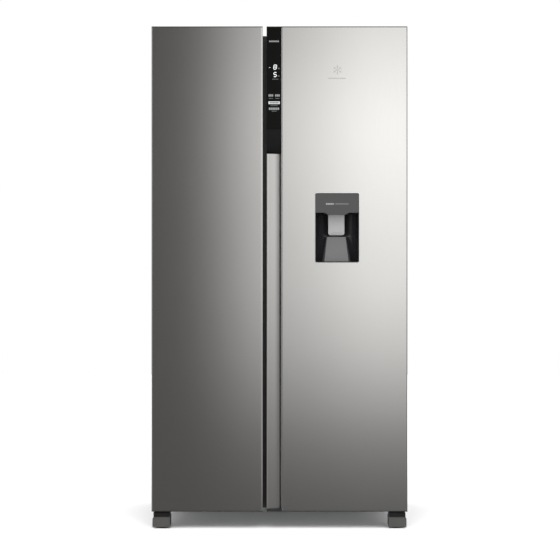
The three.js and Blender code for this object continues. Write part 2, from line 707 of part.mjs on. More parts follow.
// plan of the dispenser's hollow, half an ellipse that opens to the front
function dispenserPlan(inset) {
  const middle = (DISPENSER.x[0] + DISPENSER.x[1]) / 2;
  const halfWidth = DISPENSER.x[1] - middle - 2.5 - inset;
  const depth = DISPENSER.rear - 2.5 - inset - DOOR_FRONT;
  const curve = [];
  for (let k = 0; k <= 24; k += 1) {
    const angle = (Math.PI * k) / 24;
    curve.push([middle - halfWidth * Math.cos(angle), DOOR_FRONT + depth * Math.sin(angle)]);
  }
  return [[middle + halfWidth, DOOR_FRONT - 5], [middle - halfWidth, DOOR_FRONT - 5], ...curve];
}

function dispenserHousing() {
  const outside = prismY(
    rounded(rectangle(DISPENSER.x, DISPENSER.z), 6, 5),
    [DOOR_FRONT, DISPENSER.rear],
  );
  const hollow = prismZ(dispenserPlan(0), [DISPENSER.z[0] + 3, DISPENSER.z[1] - 3]);
  const fasciaSeat = box([100, 300], [DOOR_FRONT - 5, DOOR_FRONT + 3.3], [1117, 1200]);
  return cut(outside, hollow, fasciaSeat);
}

function dispenserFascia() {
  const m = DISPENSER_MIDDLE;
  const outline = rounded(
    [
      [DISPENSER.x[0], 1125.4], [m - 41, 1125.4], [m - 31, 1117.6], [m + 31, 1117.6],
      [m + 41, 1125.4], [DISPENSER.x[1], 1125.4],
      [DISPENSER.x[1], DISPENSER.z[1]], [DISPENSER.x[0], DISPENSER.z[1]],
    ],
    [0, 3, 3, 3, 3, 0, 6, 6],
    4,
  );
  const plate = prismY(outline, [DOOR_FRONT, DOOR_FRONT + 3]);
  const head = box([m - 44, m + 44], [DOOR_FRONT + 2, -324], [1128, 1188]);
  const spout = prismZ(circle([m, -336], 7, 16), [1119, 1130]);
  const ears = [[m - 43, m - 37], [m + 37, m + 43]].map((x) => prismX(
    rounded([[-325, 1122], [-307, 1122], [-307, 1137], [-325, 1137]], [0, 4, 4, 0], 3),
    x,
  ));
  const pinBore = prismX(circle([PADDLE_PIVOT.y, PADDLE_PIVOT.z], 2.3, 12), [m - 60, m + 60]);
  return cut(join(plate, head, spout, ...ears), pinBore);
}

function dispenserPaddle() {
  const m = DISPENSER_MIDDLE;
  const blade = prismY(
    rounded(rectangle([m - 28.8, m + 28.8], [1046.5, 1120]), [8, 8, 3, 3], 5),
    [-318, -314],
  );
  const lip = prismX(rounded([[-321, 1055], [-317, 1055], [-317, 1050], [-321, 1051.5]], 1, 2), [m - 22, m + 22]);
  const neck = box([m - 24, m + 24], [-317, -314], [1118, 1128]);
  const barrel = prismX(circle([PADDLE_PIVOT.y, PADDLE_PIVOT.z], 4, 16), [m - 36.5, m + 36.5]);
  const pins = prismX(circle([PADDLE_PIVOT.y, PADDLE_PIVOT.z], 2, 12), [m - 42, m + 42]);
  return join(blade, lip, neck, barrel, pins);
}

// the ramp that rises from the drip ledge to the back wall under the paddle
function dispenserRamp() {
  const m = DISPENSER_MIDDLE;
  const foot = DISPENSER.z[0] + 3.5;
  const corners = [
    [m - 43.2, -334, foot], [m + 43.2, -334, foot], [m + 53.4, -300, foot], [m - 53.4, -300, foot],
    [m - 33, -313, 1040], [m + 33, -313, 1040], [m + 36, -300, 1040], [m - 36, -300, 1040],
  ];
  const faces = [
    0, 2, 1, 0, 3, 2, 4, 5, 6, 4, 6, 7, 0, 1, 5, 0, 5, 4,
    1, 2, 6, 1, 6, 5, 2, 3, 7, 2, 7, 6, 3, 0, 4, 3, 4, 7,
  ];
  const geometry = new THREE.BufferGeometry();
  geometry.setAttribute('position', new THREE.BufferAttribute(new Float32Array(corners.flat()), 3));
  geometry.setIndex(faces);
  const stem = box([m - 30, m + 30], [-304, DISPENSER.rear], [foot, 1040]);
  const around = cut(
    box([100, 310], [-345, -280], [foot - 5, 1045]),
    prismZ(dispenserPlan(GAP), [foot - 10, 1050]),
  );
  return cut(join(toSolid(geometry), stem), around);
}

const TANK_X = [60, 344];
const TANK_Z = [1226, 1326];

function waterTank() {
  const y = [DOOR_REAR + GAP, -182];
  const outside = rounded(rectangle(TANK_X, y), [0, 0, 12, 12], 4);
  const inside = rounded(rectangle(grown(TANK_X, -2.5), [y[0] + 2.5, y[1] - 2.5]), [0, 0, 9.5, 9.5], 4);
  return cut(prismZ(outside, TANK_Z), prismZ(inside, [TANK_Z[0] + 2.5, TANK_Z[1] + 5]));
}

function tankLid() {
  const y = [DOOR_REAR + 1.8, -181];
  const plate = prismZ(rounded(rectangle(TANK_X, y), [0, 0, 13, 13], 4), [TANK_Z[1] + 0.5, TANK_Z[1] + 4.5]);
  const grip = box([176, 228], [-182, -174], [TANK_Z[1] + 1, TANK_Z[1] + 4]);
  return join(plate, grip);
}

// ---------------------------------------------------------------- build every piece

addPart('outer_case', outerCase(), 'case_paint');
addPart('insulation_foam', insulationFoam(), 'foam');
addPart('freezer_liner', compartmentLiner(FREEZER_SPACE, [-451.7, -82], 215), 'liner_white');
addPart('fridge_liner', compartmentLiner(FRIDGE_SPACE, [-22, 451.7], 255), 'liner_white');
addPart('base_pan', basePan(), 'zinc');
addPart('evaporator_cover', evaporatorCover(), 'liner_white');
addPart('air_duct_panel', airDuctPanel(), 'liner_white');

Object.entries(SHELF_HEIGHTS).forEach(([level, height]) => {
  addPart(`freezer_shelf_${level}`, shelf(FREEZER_SPACE, height, 218), 'shelf_glass');
  addPart(`fridge_shelf_${level}`, shelf(FRIDGE_SPACE, height, 255), 'shelf_glass');
});

addPart('freezer_drawer_lower', drawer([-374, -103], 58, [137, 336]), 'clear_plastic');
addPart('freezer_drawer_upper', drawer([-374, -103], 212, [354.5, 560]), 'clear_plastic');
addPart('crisper_lower', drawer([2, 380], 58, [137, 336]), 'clear_plastic');
addPart('crisper_upper', drawer([2, 380], 245, [354.5, 560]), 'clear_plastic');

[['left', -1], ['right', 1]].forEach(([name, side]) => {
  addPart(`top_hinge_${name}`, topHinge(side), 'zinc');
  addPart(`hinge_cover_${name}`, hingeCover(side), 'cap_plastic');
  addPart(`bottom_hinge_${name}`, bottomHinge(side), 'bracket_black');
  addPart(`front_foot_${name}`, frontFoot(side), 'foot_plastic');
  addPart(`leveller_${name}`, leveller(side), 'bracket_black');
  addPart(`rear_roller_${name}`, rearRoller(side), 'roller_plastic');
});

addPart('compressor', compressor(), 'compressor_black');
addPart('cooling_fan', coolingFan(), 'cap_plastic');
addPart('machine_cover', machineCover(), 'zinc');
addPart('mains_inlet', mainsInlet(), 'cap_plastic');

addPart('freezer_door_skin', freezerSkin(), 'steel');
addPart('freezer_door_top_cap', topCap(FREEZER_DOOR, FREEZER_CORE, -1), 'cap_plastic');
addPart('freezer_door_bottom_cap', bottomCap(FREEZER_DOOR, FREEZER_CORE, -1, []), 'cap_plastic');
addPart('freezer_door_foam', prismZ(FREEZER_CORE, CORE_Z), 'foam');
addPart(
  'freezer_door_liner',
  doorLiner([FREEZER_DOOR[0] + 1.6, FREEZER_DOOR[1] - 1.6], FREEZER_DYKE, -1),
  'liner_white',
);
addPart('freezer_door_gasket', gasket([-436, -64]), 'gasket_rubber');
addPart('freezer_bin_lower', doorBin([-367.5, -112.5], [176, 286]), 'clear_plastic');
addPart('freezer_bin_middle', doorBin([-367.5, -112.5], [640, 745]), 'clear_plastic');
addPart('freezer_bin_upper', doorBin([-367.5, -112.5], [1100, 1205]), 'clear_plastic');

const channelFloor = box([FRIDGE_DOOR[0], FRIDGE_PANEL_EDGE - 0.8], [DOOR_FRONT + 0.4, -300], [63, CHANNEL_BOTTOM - GAP]);
const channelZ = [CHANNEL_BOTTOM, PANEL_BOTTOM];

addPart('fridge_door_skin', fridgeSkin(), 'steel');
addPart('fridge_door_top_cap', topCap(FRIDGE_DOOR, FRIDGE_CORE, 1), 'cap_plastic');
addPart('fridge_door_bottom_cap', bottomCap(FRIDGE_DOOR, FRIDGE_CORE, 1, [channelFloor]), 'cap_plastic');
addPart('fridge_door_foam', fridgeFoam(), 'foam');
addPart('fridge_door_liner', fridgeLinerPanel(), 'liner_white');
addPart('fridge_door_gasket', gasket([-41.5, 436]), 'gasket_rubber');
addPart('handle_channel', prismZ(sheetPath(CHANNEL_PATH, 1.5), channelZ), 'channel');
addPart(
  'control_glass',
  box([FRIDGE_DOOR[0], FRIDGE_PANEL_EDGE - 0.6], [DOOR_FRONT, DOOR_FRONT + 4], [PANEL_SPLIT, SKIN_Z[1]]),
  'panel_glass',
);
addPart('control_housing', controlHousing(), 'panel_black');
addPart('dispenser_housing', dispenserHousing(), 'dispenser_black');
addPart('dispenser_fascia', dispenserFascia(), 'dispenser_grey');
addPart('dispenser_ramp', dispenserRamp(), 'ramp_grey');
addPart('dispenser_paddle', dispenserPaddle(), 'paddle_silver');
addPart('water_tank', waterTank(), 'clear_plastic');
addPart('tank_lid', tankLid(), 'liner_white');
addPart('fridge_bin_lower', doorBin([8, 377.5], [176, 286]), 'clear_plastic');
addPart('fridge_bin_middle', doorBin([8, 377.5], [600, 705]), 'clear_plastic');
addPart('fridge_bin_upper', doorBin([8, 377.5], [1460, 1560]), 'clear_plastic');

export default group;
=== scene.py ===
"""Side by side refrigerator: finishes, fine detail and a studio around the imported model."""

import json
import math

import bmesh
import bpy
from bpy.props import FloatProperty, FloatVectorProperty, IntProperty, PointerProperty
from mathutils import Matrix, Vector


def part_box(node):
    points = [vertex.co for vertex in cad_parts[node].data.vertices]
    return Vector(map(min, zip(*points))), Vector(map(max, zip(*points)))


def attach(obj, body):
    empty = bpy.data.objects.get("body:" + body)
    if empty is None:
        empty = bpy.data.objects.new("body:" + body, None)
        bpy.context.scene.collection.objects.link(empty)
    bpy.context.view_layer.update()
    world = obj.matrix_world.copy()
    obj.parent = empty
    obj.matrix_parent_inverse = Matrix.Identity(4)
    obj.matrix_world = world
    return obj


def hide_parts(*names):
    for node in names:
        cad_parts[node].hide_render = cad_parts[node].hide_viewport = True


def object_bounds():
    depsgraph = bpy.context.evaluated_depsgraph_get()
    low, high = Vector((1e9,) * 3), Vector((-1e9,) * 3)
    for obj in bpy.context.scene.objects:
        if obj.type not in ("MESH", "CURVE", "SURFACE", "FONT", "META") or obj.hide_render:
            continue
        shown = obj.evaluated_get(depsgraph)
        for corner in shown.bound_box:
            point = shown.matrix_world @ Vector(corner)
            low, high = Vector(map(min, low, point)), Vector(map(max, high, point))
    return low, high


bl_info = {
    "name": "Side by Side Refrigerator",
    "version": (1, 0, 0),
    "blender": (4, 5, 0),
    "location": "3D View > Sidebar > Refrigerator",
    "description": "Builds the finished look of a side by side refrigerator around its packed model",
    "category": "Object",
}

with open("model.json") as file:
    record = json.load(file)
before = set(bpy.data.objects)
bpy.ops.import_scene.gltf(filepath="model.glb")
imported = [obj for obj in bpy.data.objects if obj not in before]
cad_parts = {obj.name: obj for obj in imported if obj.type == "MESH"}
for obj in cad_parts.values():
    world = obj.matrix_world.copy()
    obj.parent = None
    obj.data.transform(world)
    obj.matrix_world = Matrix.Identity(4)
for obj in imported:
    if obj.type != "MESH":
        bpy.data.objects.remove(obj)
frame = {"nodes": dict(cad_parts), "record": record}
CAD_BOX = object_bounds()
NODES = frame["nodes"]
BODY_OF = {
    node: body
    for body, members in frame["record"]["behaviour"]["bodies"].items()
    for node in members
}
SLOT_OF = {entry["node"]: entry["material_slot"] for entry in frame["record"]["subparts"]}

LEVELS = ("lower", "middle", "upper")
SIDES = ("left", "right")
ROOMS = ("freezer", "fridge")
HAIR = 0.0003  # clearance kept between two pieces that touch


# ---------------------------------------------------------------- settings


class RefrigeratorFinish(bpy.types.PropertyGroup):
    """Colours and surface qualities."""

    steel_colour: FloatVectorProperty(
        name="Steel", description="Colour of the satin steel doors",
        subtype="COLOR", size=3, min=0, max=1, default=(0.595, 0.588, 0.572),
    )
    steel_roughness: FloatProperty(
        name="Steel roughness", description="How much the door steel blurs what it mirrors",
        subtype="FACTOR", min=0, max=1, default=0.2,
    )
    case_colour: FloatVectorProperty(
        name="Case paint", description="Colour of the painted sides and top",
        subtype="COLOR", size=3, min=0, max=1, default=(0.042, 0.042, 0.044),
    )
    liner_colour: FloatVectorProperty(
        name="Liner", description="Colour of the moulded inner walls",
        subtype="COLOR", size=3, min=0, max=1, default=(0.66, 0.67, 0.675),
    )
    fascia_colour: FloatVectorProperty(
        name="Dispenser fascia", description="Colour of the plate above the paddle",
        subtype="COLOR", size=3, min=0, max=1, default=(0.034, 0.034, 0.0335),
    )
    paddle_colour: FloatVectorProperty(
        name="Paddle", description="Colour of the dispenser's paddle",
        subtype="COLOR", size=3, min=0, max=1, default=(0.27, 0.27, 0.272),
    )
    sign_brightness: FloatProperty(
        name="Sign brightness", description="How strongly the panel's signs glow",
        min=0, max=10, default=1.0,
    )


class RefrigeratorSizes(bpy.types.PropertyGroup):
    """Sizes of the fine detail."""

    edge_radius: FloatProperty(
        name="Edge radius", description="Rounding of moulded plastic edges",
        subtype="DISTANCE", unit="LENGTH", min=0.0001, max=0.005, default=0.0012,
    )
    sheet_radius: FloatProperty(
        name="Sheet edge radius", description="Rounding of cut sheet metal edges",
        subtype="DISTANCE", unit="LENGTH", min=0.00005, max=0.001, default=0.0003,
    )
    screw_radius: FloatProperty(
        name="Screw head radius", description="Radius of the sheet metal screws' heads",
        subtype="DISTANCE", unit="LENGTH", min=0.001, max=0.01, default=0.0042,
    )
    louvre_rows: IntProperty(
        name="Louvre rows", description="Rows of louvres in each group on the rear cover",
        min=1, max=30, default=8,
    )
    digit_height: FloatProperty(
        name="Digit height", description="Height of the temperature digits",
        subtype="DISTANCE", unit="LENGTH", min=0.005, max=0.05, default=0.0178,
    )


class RefrigeratorStudio(bpy.types.PropertyGroup):
    """Camera, floor and lights."""

    camera_distance: FloatProperty(
        name="Camera distance", description="From the door fronts to the camera",
        subtype="DISTANCE", unit="LENGTH", min=1, max=20, default=5.75,
    )
    camera_height: FloatProperty(
        name="Camera height", description="Height of the camera above the floor",
        subtype="DISTANCE", unit="LENGTH", min=0, max=5, default=0.886,
    )
    view_width: FloatProperty(
        name="View width", description="Width of the picture at the door fronts",
        subtype="DISTANCE", unit="LENGTH", min=0.5, max=5, default=1.992,
    )
    softbox_radiance: FloatProperty(
        name="Softbox brightness", description="Brightness of the large softbox at its brightest",
        min=0, max=20, default=1.66,
    )
    side_radiance: FloatProperty(
        name="Side light brightness", description="Brightness of the two side softboxes",
        min=0, max=20, default=1.1,
    )
    overhead_strength: FloatProperty(
        name="Overhead strength", description="Strength of the even light from above",
        min=0, max=20, default=2.2,
    )
    room_light: FloatProperty(
        name="Room light", description="Brightness of the room that the steel mirrors",
        min=0, max=5, default=0.106,
    )
    floor_glow: FloatProperty(
        name="Floor glow", description="Brightness of the pale floor that the steel mirrors",
        min=0, max=5, default=0.5,
    )
    wall_glow: FloatProperty(
        name="Wall glow", description="Brightness of the pale wall on the left that the steel mirrors",
        min=0, max=5, default=0.42,
    )
    ambient_light: FloatProperty(
        name="Ambient light", description="Even light from all round on matt surfaces",
        min=0, max=5, default=1.15,
    )
    floor_colour: FloatVectorProperty(
        name="Floor", description="Colour of the plain floor",
        subtype="COLOR", size=3, min=0, max=1, default=(0.93, 0.93, 0.93),
    )


class RefrigeratorSettings(bpy.types.PropertyGroup):
    """Everything a user of this file would change."""

    finish: PointerProperty(type=RefrigeratorFinish)
    sizes: PointerProperty(type=RefrigeratorSizes)
    studio: PointerProperty(type=RefrigeratorStudio)


def settings():
    return bpy.context.scene.refrigerator


# ---------------------------------------------------------------- materials


MATERIALS = {}
BRUSHED = (900, 900, 14)  # grain per metre: fine across, long upright
GRAIN_DETAIL = 2.0
FOAM_DETAIL = 6.0

# colour, metallic, grain per metre, relief in metres, least and most roughness, colour spread;
# where the colour is None the settings give it
FINISHES = {
    "bright_edge": ((0.93, 0.925, 0.915), 1.0, 700, 0.000002, (0.17, 0.23), 0.01),
    "case_paint": (None, 0.35, 420, 0.00003, (0.38, 0.48), 0.03),
    "cap_plastic": ((0.014, 0.014, 0.015), 0.0, 1500, 0.00002, (0.4, 0.52), 0.06),
    "foot_plastic": ((0.05, 0.049, 0.046), 0.0, 1200, 0.00003, (0.48, 0.62), 0.07),
    "bracket_black": ((0.012, 0.012, 0.013), 0.4, 700, 0.00002, (0.36, 0.5), 0.08),
    "foam": ((0.72, 0.6, 0.33), 0.0, 350, 0.0004, (0.88, 1.0), 0.1),
    "liner_white": (None, 0.0, 260, 0.00002, (0.24, 0.36), 0.008),
    "trim_white": ((0.6, 0.61, 0.62), 0.0, 700, 0.00001, (0.3, 0.4), 0.01),
    "gasket_rubber": ((0.045, 0.046, 0.049), 0.0, 900, 0.00002, (0.52, 0.7), 0.06),
    "clear_plastic": ((0.86, 0.91, 0.94), 0.0, 60, 0.00001, (0.08, 0.16), 0.015),
    "shelf_glass": ((0.8, 0.93, 0.9), 0.0, 30, 0.000002, (0.02, 0.05), 0.01),
    "panel_glass": ((0.0022, 0.0022, 0.002), 0.0, 40, 0.000001, (0.04, 0.08), 0.05),
    "panel_black": ((0.004, 0.004, 0.004), 0.0, 900, 0.000006, (0.26, 0.34), 0.05),
    "dispenser_black": ((0.008, 0.008, 0.009), 0.0, 400, 0.000004, (0.18, 0.27), 0.06),
    "fascia_grey": (None, 0.0, 1100, 0.00001, (0.36, 0.48), 0.04),
    "ramp_grey": ((0.086, 0.086, 0.087), 0.0, 1100, 0.00001, (0.34, 0.46), 0.04),
    "paddle_silver": (None, 0.15, 1000, 0.000006, (0.3, 0.42), 0.02),
    "compressor_black": ((0.01, 0.01, 0.01), 0.2, 120, 0.00004, (0.22, 0.38), 0.08),
    "roller_plastic": ((0.03, 0.03, 0.031), 0.0, 800, 0.00002, (0.48, 0.62), 0.06),
    "screw_steel": ((0.62, 0.62, 0.61), 0.45, 600, 0.00001, (0.26, 0.4), 0.05),
    "caption_bold": ((0.22, 0.22, 0.22), 0.0, 800, 0.000003, (0.45, 0.55), 0.03),
    "caption_fine": ((0.11, 0.11, 0.11), 0.0, 800, 0.000003, (0.45, 0.55), 0.03),
    "mark_print": ((0.36, 0.356, 0.345), 0.7, 700, 0.000004, (0.4, 0.5), 0.02),
}
FURTHER_SOCKETS = {
    "case_paint": {"Coat Weight": 0.15},
    "compressor_black": {"Coat Weight": 0.3},
    "clear_plastic": {"IOR": 1.49, "Transmission Weight": 0.82},
    "shelf_glass": {"IOR": 1.5, "Transmission Weight": 0.93},
    "panel_glass": {"Specular IOR Level": 0.07},
    "panel_black": {"Specular IOR Level": 0.12},
}
# colour of the light and its strength
SIGNS = {
    "sign_white": ((0.92, 0.94, 0.96), 1.1),
    "sign_pale": ((0.92, 0.94, 0.94), 0.66),
    "sign_grey": ((0.9, 0.92, 0.94), 0.24),
    "sign_faint": ((0.9, 0.92, 0.94), 0.07),
}


def add_node(tree, kind, inputs=None, **properties):
    """A node with its properties set; inputs gives a link or a plain value to each named socket."""
    node = tree.nodes.new(kind)
    for key, value in properties.items():
        setattr(node, key, value)
    for socket, value in (inputs or {}).items():
        if isinstance(value, bpy.types.NodeSocket):
            tree.links.new(value, node.inputs[socket])
        else:
            node.inputs[socket].default_value = value
    return node


def result_of(tree, kind, inputs=None, **properties):
    """The first output of a new node."""
    return add_node(tree, kind, inputs, **properties).outputs[0]


def shader_of(material):
    return material.node_tree.nodes["Principled BSDF"]


def plain_material(name, colour, metallic, sockets=None):
    """A Principled material, before its grain."""
    material = bpy.data.materials.new(name)
    material.use_nodes = True
    material.diffuse_color = (*colour, 1)
    values = {"Base Color": (*colour, 1), "Metallic": metallic, **(sockets or {})}
    for socket, value in values.items():
        shader_of(material).inputs[socket].default_value = value
    return material


def object_pattern(tree, stretch):
    """Object coordinates scaled by stretch, so a pattern keeps its size on every piece."""
    coordinates = add_node(tree, "ShaderNodeTexCoord")
    return result_of(
        tree, "ShaderNodeMapping", {"Vector": coordinates.outputs["Object"], "Scale": stretch}
    )


def noise(tree, stretch, scale, detail):
    """A noise between 0 and 1 on the object's own coordinates."""
    node = add_node(tree, "ShaderNodeTexNoise", {
        "Scale": scale,
        "Detail": detail,
        "Vector": object_pattern(tree, stretch),
    })
    return node.outputs["Fac"]


def remap(tree, value, low, high):
    return result_of(tree, "ShaderNodeMapRange", {"Value": value, "To Min": low, "To Max": high})


def tint(tree, factor, colour, spread):
    """Base colour that wanders by spread to either side, driven by factor."""
    dark = [channel * (1 - spread) for channel in colour]
    light = [min(1.0, channel * (1 + spread)) for channel in colour]
    mix = add_node(
        tree, "ShaderNodeMix", {"A": (*dark, 1), "B": (*light, 1), "Factor": factor}, data_type="RGBA"
    )
    return mix.outputs["Result"]


def grained(material, grain, depth, roughness, spread, detail=GRAIN_DETAIL):
    """Adds a fine noise to a material: relief, roughness and a little colour change.
    grain is the noise's scale per metre along X, Y and Z."""
    tree = material.node_tree
    shader = shader_of(material)
    colour = tuple(shader.inputs["Base Color"].default_value)[:3]
    fine = noise(tree, grain, 1.0, detail)
    broad = noise(tree, (1, 1, 1), 6.0, 3.0)
    relief = result_of(tree, "ShaderNodeBump", {"Strength": 1.0, "Distance": depth, "Height": fine})
    tree.links.new(remap(tree, fine, *roughness), shader.inputs["Roughness"])
    tree.links.new(tint(tree, broad, colour, spread), shader.inputs["Base Color"])
    tree.links.new(relief, shader.inputs["Normal"])
    return material


def steel_material(name, colour, roughness, depth, detail):
    """Satin steel with a fine upright brushing."""
    span = (roughness - 0.03, roughness + 0.03)
    return grained(plain_material(name, colour, 1.0), BRUSHED, depth, span, 0.012, detail)


def zinc_material(name, colour):
    """Galvanised sheet with faint crystal spangle."""
    material = plain_material(name, colour, 0.9)
    tree = material.node_tree
    shader = shader_of(material)
    cells = add_node(
        tree, "ShaderNodeTexVoronoi", {"Scale": 55.0, "Vector": object_pattern(tree, (1, 1, 1))}
    )
    split = add_node(tree, "ShaderNodeSeparateColor", {"Color": cells.outputs["Color"]})
    tree.links.new(remap(tree, split.outputs["Red"], 0.38, 0.55), shader.inputs["Roughness"])
    tree.links.new(tint(tree, split.outputs["Green"], colour, 0.12), shader.inputs["Base Color"])
    return material


def sign_material(name, colour, strength):
    """A sign lit from behind through the panel's glass."""
    material = plain_material(name, tuple(0.08 * c for c in colour), 0.0, {
        "Specular IOR Level": 0.1,
        "Emission Color": (*colour, 1),
        "Emission Strength": strength,
    })
    return grained(material, (500, 500, 500), 0.000002, (0.35, 0.45), 0.02)


def make_materials():
    """Every finish on the object, by name."""
    finish = settings().finish
    steel = tuple(finish.steel_colour)
    chosen = {
        "case_paint": tuple(finish.case_colour),
        "liner_white": tuple(finish.liner_colour),
        "fascia_grey": tuple(finish.fascia_colour),
        "paddle_silver": tuple(finish.paddle_colour),
    }
    MATERIALS["satin_steel"] = steel_material(
        "satin_steel", steel, finish.steel_roughness, 0.000004, 3.0
    )
    MATERIALS["channel_steel"] = steel_material(
        "channel_steel", tuple(0.98 * c for c in steel), 0.31, 0.000003, GRAIN_DETAIL
    )
    MATERIALS["zinc"] = zinc_material("zinc", (0.42, 0.43, 0.44))
    for name, (colour, metallic, grain, depth, roughness, spread) in FINISHES.items():
        plain = plain_material(name, colour or chosen[name], metallic, FURTHER_SOCKETS.get(name))
        detail = FOAM_DETAIL if name == "foam" else GRAIN_DETAIL
        MATERIALS[name] = grained(plain, (grain, grain, grain), depth, roughness, spread, detail)
    for name, (colour, strength) in SIGNS.items():
        MATERIALS[name] = sign_material(name, colour, strength * finish.sign_brightness)
    MATERIALS["lamp_lens"] = sign_material("lamp_lens", (0.95, 0.97, 1.0), 0.9)


# ---------------------------------------------------------------- meshes


def link(obj):
    bpy.context.scene.collection.objects.link(obj)
    return obj


def object_with(name, bm):
    """An object whose mesh is taken from bm."""
    mesh = bpy.data.meshes.new(name)
    bm.to_mesh(mesh)
    bm.free()
    return link(bpy.data.objects.new(name, mesh))


def object_from(name, build):
    """An object whose mesh is made by build(bm)."""
    bm = bmesh.new()
    build(bm)
    bmesh.ops.recalc_face_normals(bm, faces=bm.faces)
    return object_with(name, bm)


def settle(obj):
    """Turns the object's modifiers into plain mesh."""
    depsgraph = bpy.context.evaluated_depsgraph_get()
    mesh = bpy.data.meshes.new_from_object(obj.evaluated_get(depsgraph))
    mesh.name = obj.name
    obj.modifiers.clear()
    obj.data = mesh
    return obj


def soften(obj, radius, segments=2, angle=35.0):
    """Rounds the object's sharp edges and shades it smoothly."""
    for polygon in obj.data.polygons:
        polygon.use_smooth = True
    if radius > 0:
        bevel = obj.modifiers.new("edges", "BEVEL")
        bevel.width = radius
        bevel.segments = segments
        bevel.limit_method = "ANGLE"
        bevel.angle_limit = math.radians(angle)
        bevel.use_clamp_overlap = True
        bevel.miter_outer = "MITER_ARC"
    else:
        obj.data.set_sharp_from_angle(angle=math.radians(angle))
    weight = obj.modifiers.new("flat_faces", "WEIGHTED_NORMAL")
    weight.keep_sharp = True
    return settle(obj)


def paint(obj, name):
    obj.data.materials.clear()
    obj.data.materials.append(MATERIALS[name])


def place(obj, material, body, material_slot, *nodes):
    """The piece gets its finish, rides on body and stands for nodes."""
    paint(obj, material)
    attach(obj, body)
    if nodes:
        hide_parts(*nodes)


def finished(node, name, material, radius, segments=2, angle=35.0):
    """A CAD node's shape with rounded edges, standing for that node."""
    bm = bmesh.new()
    bm.from_mesh(NODES[node].data)
    bmesh.ops.remove_doubles(bm, verts=bm.verts, dist=2e-5)
    bmesh.ops.dissolve_limit(
        bm, angle_limit=math.radians(0.4), verts=bm.verts, edges=bm.edges, use_dissolve_boundaries=False
    )
    obj = soften(object_with(name, bm), radius, segments, angle)
    place(obj, material, BODY_OF[node], SLOT_OF[node], node)


def add_box(bm, low, high):
    centre = [(a + b) / 2 for a, b in zip(low, high)]
    size = [b - a for a, b in zip(low, high)]
    matrix = Matrix.Translation(centre) @ Matrix.Diagonal((*size, 1))
    bmesh.ops.create_cube(bm, size=1.0, matrix=matrix)


def add_prism(bm, outline, axis, low, high):
    """A prism along an axis (0, 1 or 2); outline holds the other two coordinates in order."""
    def at(point, along):
        corner = list(point)
        corner.insert(axis, along)
        return corner

    bottom = [bm.verts.new(at(point, low)) for point in outline]
    top = [bm.verts.new(at(point, high)) for point in outline]
    count = len(outline)
    bm.faces.new(bottom)
    bm.faces.new(list(reversed(top)))
    for i in range(count):
        j = (i + 1) % count
        bm.faces.new((bottom[j], bottom[i], top[i], top[j]))


def add_turned(bm, profile, centre, axis, steps):
    """A round closed body about an axis; profile is (radius, along) from pole to pole."""
    rings = []
    for radius, along in profile:
        count = 1 if radius < 1e-7 else steps
        ring = []
        for k in range(count):
            angle = 2 * math.pi * k / steps
            point = [radius * math.cos(angle), radius * math.sin(angle)]
            point.insert(axis, along)
            ring.append(bm.verts.new([a + b for a, b in zip(point, centre)]))
        rings.append(ring)
    for below, above in zip(rings, rings[1:]):
        for k in range(steps):
            n = (k + 1) % steps
            corners = [below[k % len(below)], below[n % len(below)]]
            corners += [above[n % len(above)], above[k % len(above)]]
            unique = list(dict.fromkeys(corners))
            if len(unique) > 2:
                bm.faces.new(unique)


def arc(centre, radius, start, end, steps):
    """Points of an arc in a plane, angles in degrees."""
    points = []
    for k in range(steps + 1):
        angle = math.radians(start + (end - start) * k / steps)
        points.append((centre[0] + radius * math.cos(angle), centre[1] + radius * math.sin(angle)))
    return points


def rounded_rectangle(low, high, radius, steps=5):
    corners = (
        ((high[0] - radius, high[1] - radius), 0),
        ((low[0] + radius, high[1] - radius), 90),
        ((low[0] + radius, low[1] + radius), 180),
        ((high[0] - radius, low[1] + radius), 270),
    )
    points = []
    for centre, start in corners:
        points.extend(arc(centre, radius, start, start + 90, steps))
    return points


# ---------------------------------------------------------------- geometry nodes


def tree_with(name, inputs):
    """An empty geometry tree with named inputs; inputs is (name, socket type, default)."""
    tree = bpy.data.node_groups.new(name, "GeometryNodeTree")
    for title, kind, default in inputs:
        socket = tree.interface.new_socket(title, in_out="INPUT", socket_type=kind)
        if default is not None:
            socket.default_value = default
    tree.interface.new_socket("Geometry", in_out="OUTPUT", socket_type="NodeSocketGeometry")
    return tree, tree.nodes.new("NodeGroupInput").outputs


def end_tree(tree, given, geometry):
    """Ends a tree with real geometry in the given material."""
    real = result_of(tree, "GeometryNodeRealizeInstances", {0: geometry})
    coloured = result_of(
        tree, "GeometryNodeSetMaterial", {"Geometry": real, "Material": given["Material"]}
    )
    add_node(tree, "NodeGroupOutput", {"Geometry": coloured})
    return tree


def object_geometry(tree, source):
    node = add_node(tree, "GeometryNodeObjectInfo", {"Object": source}, transform_space="ORIGINAL")
    return node.outputs["Geometry"]


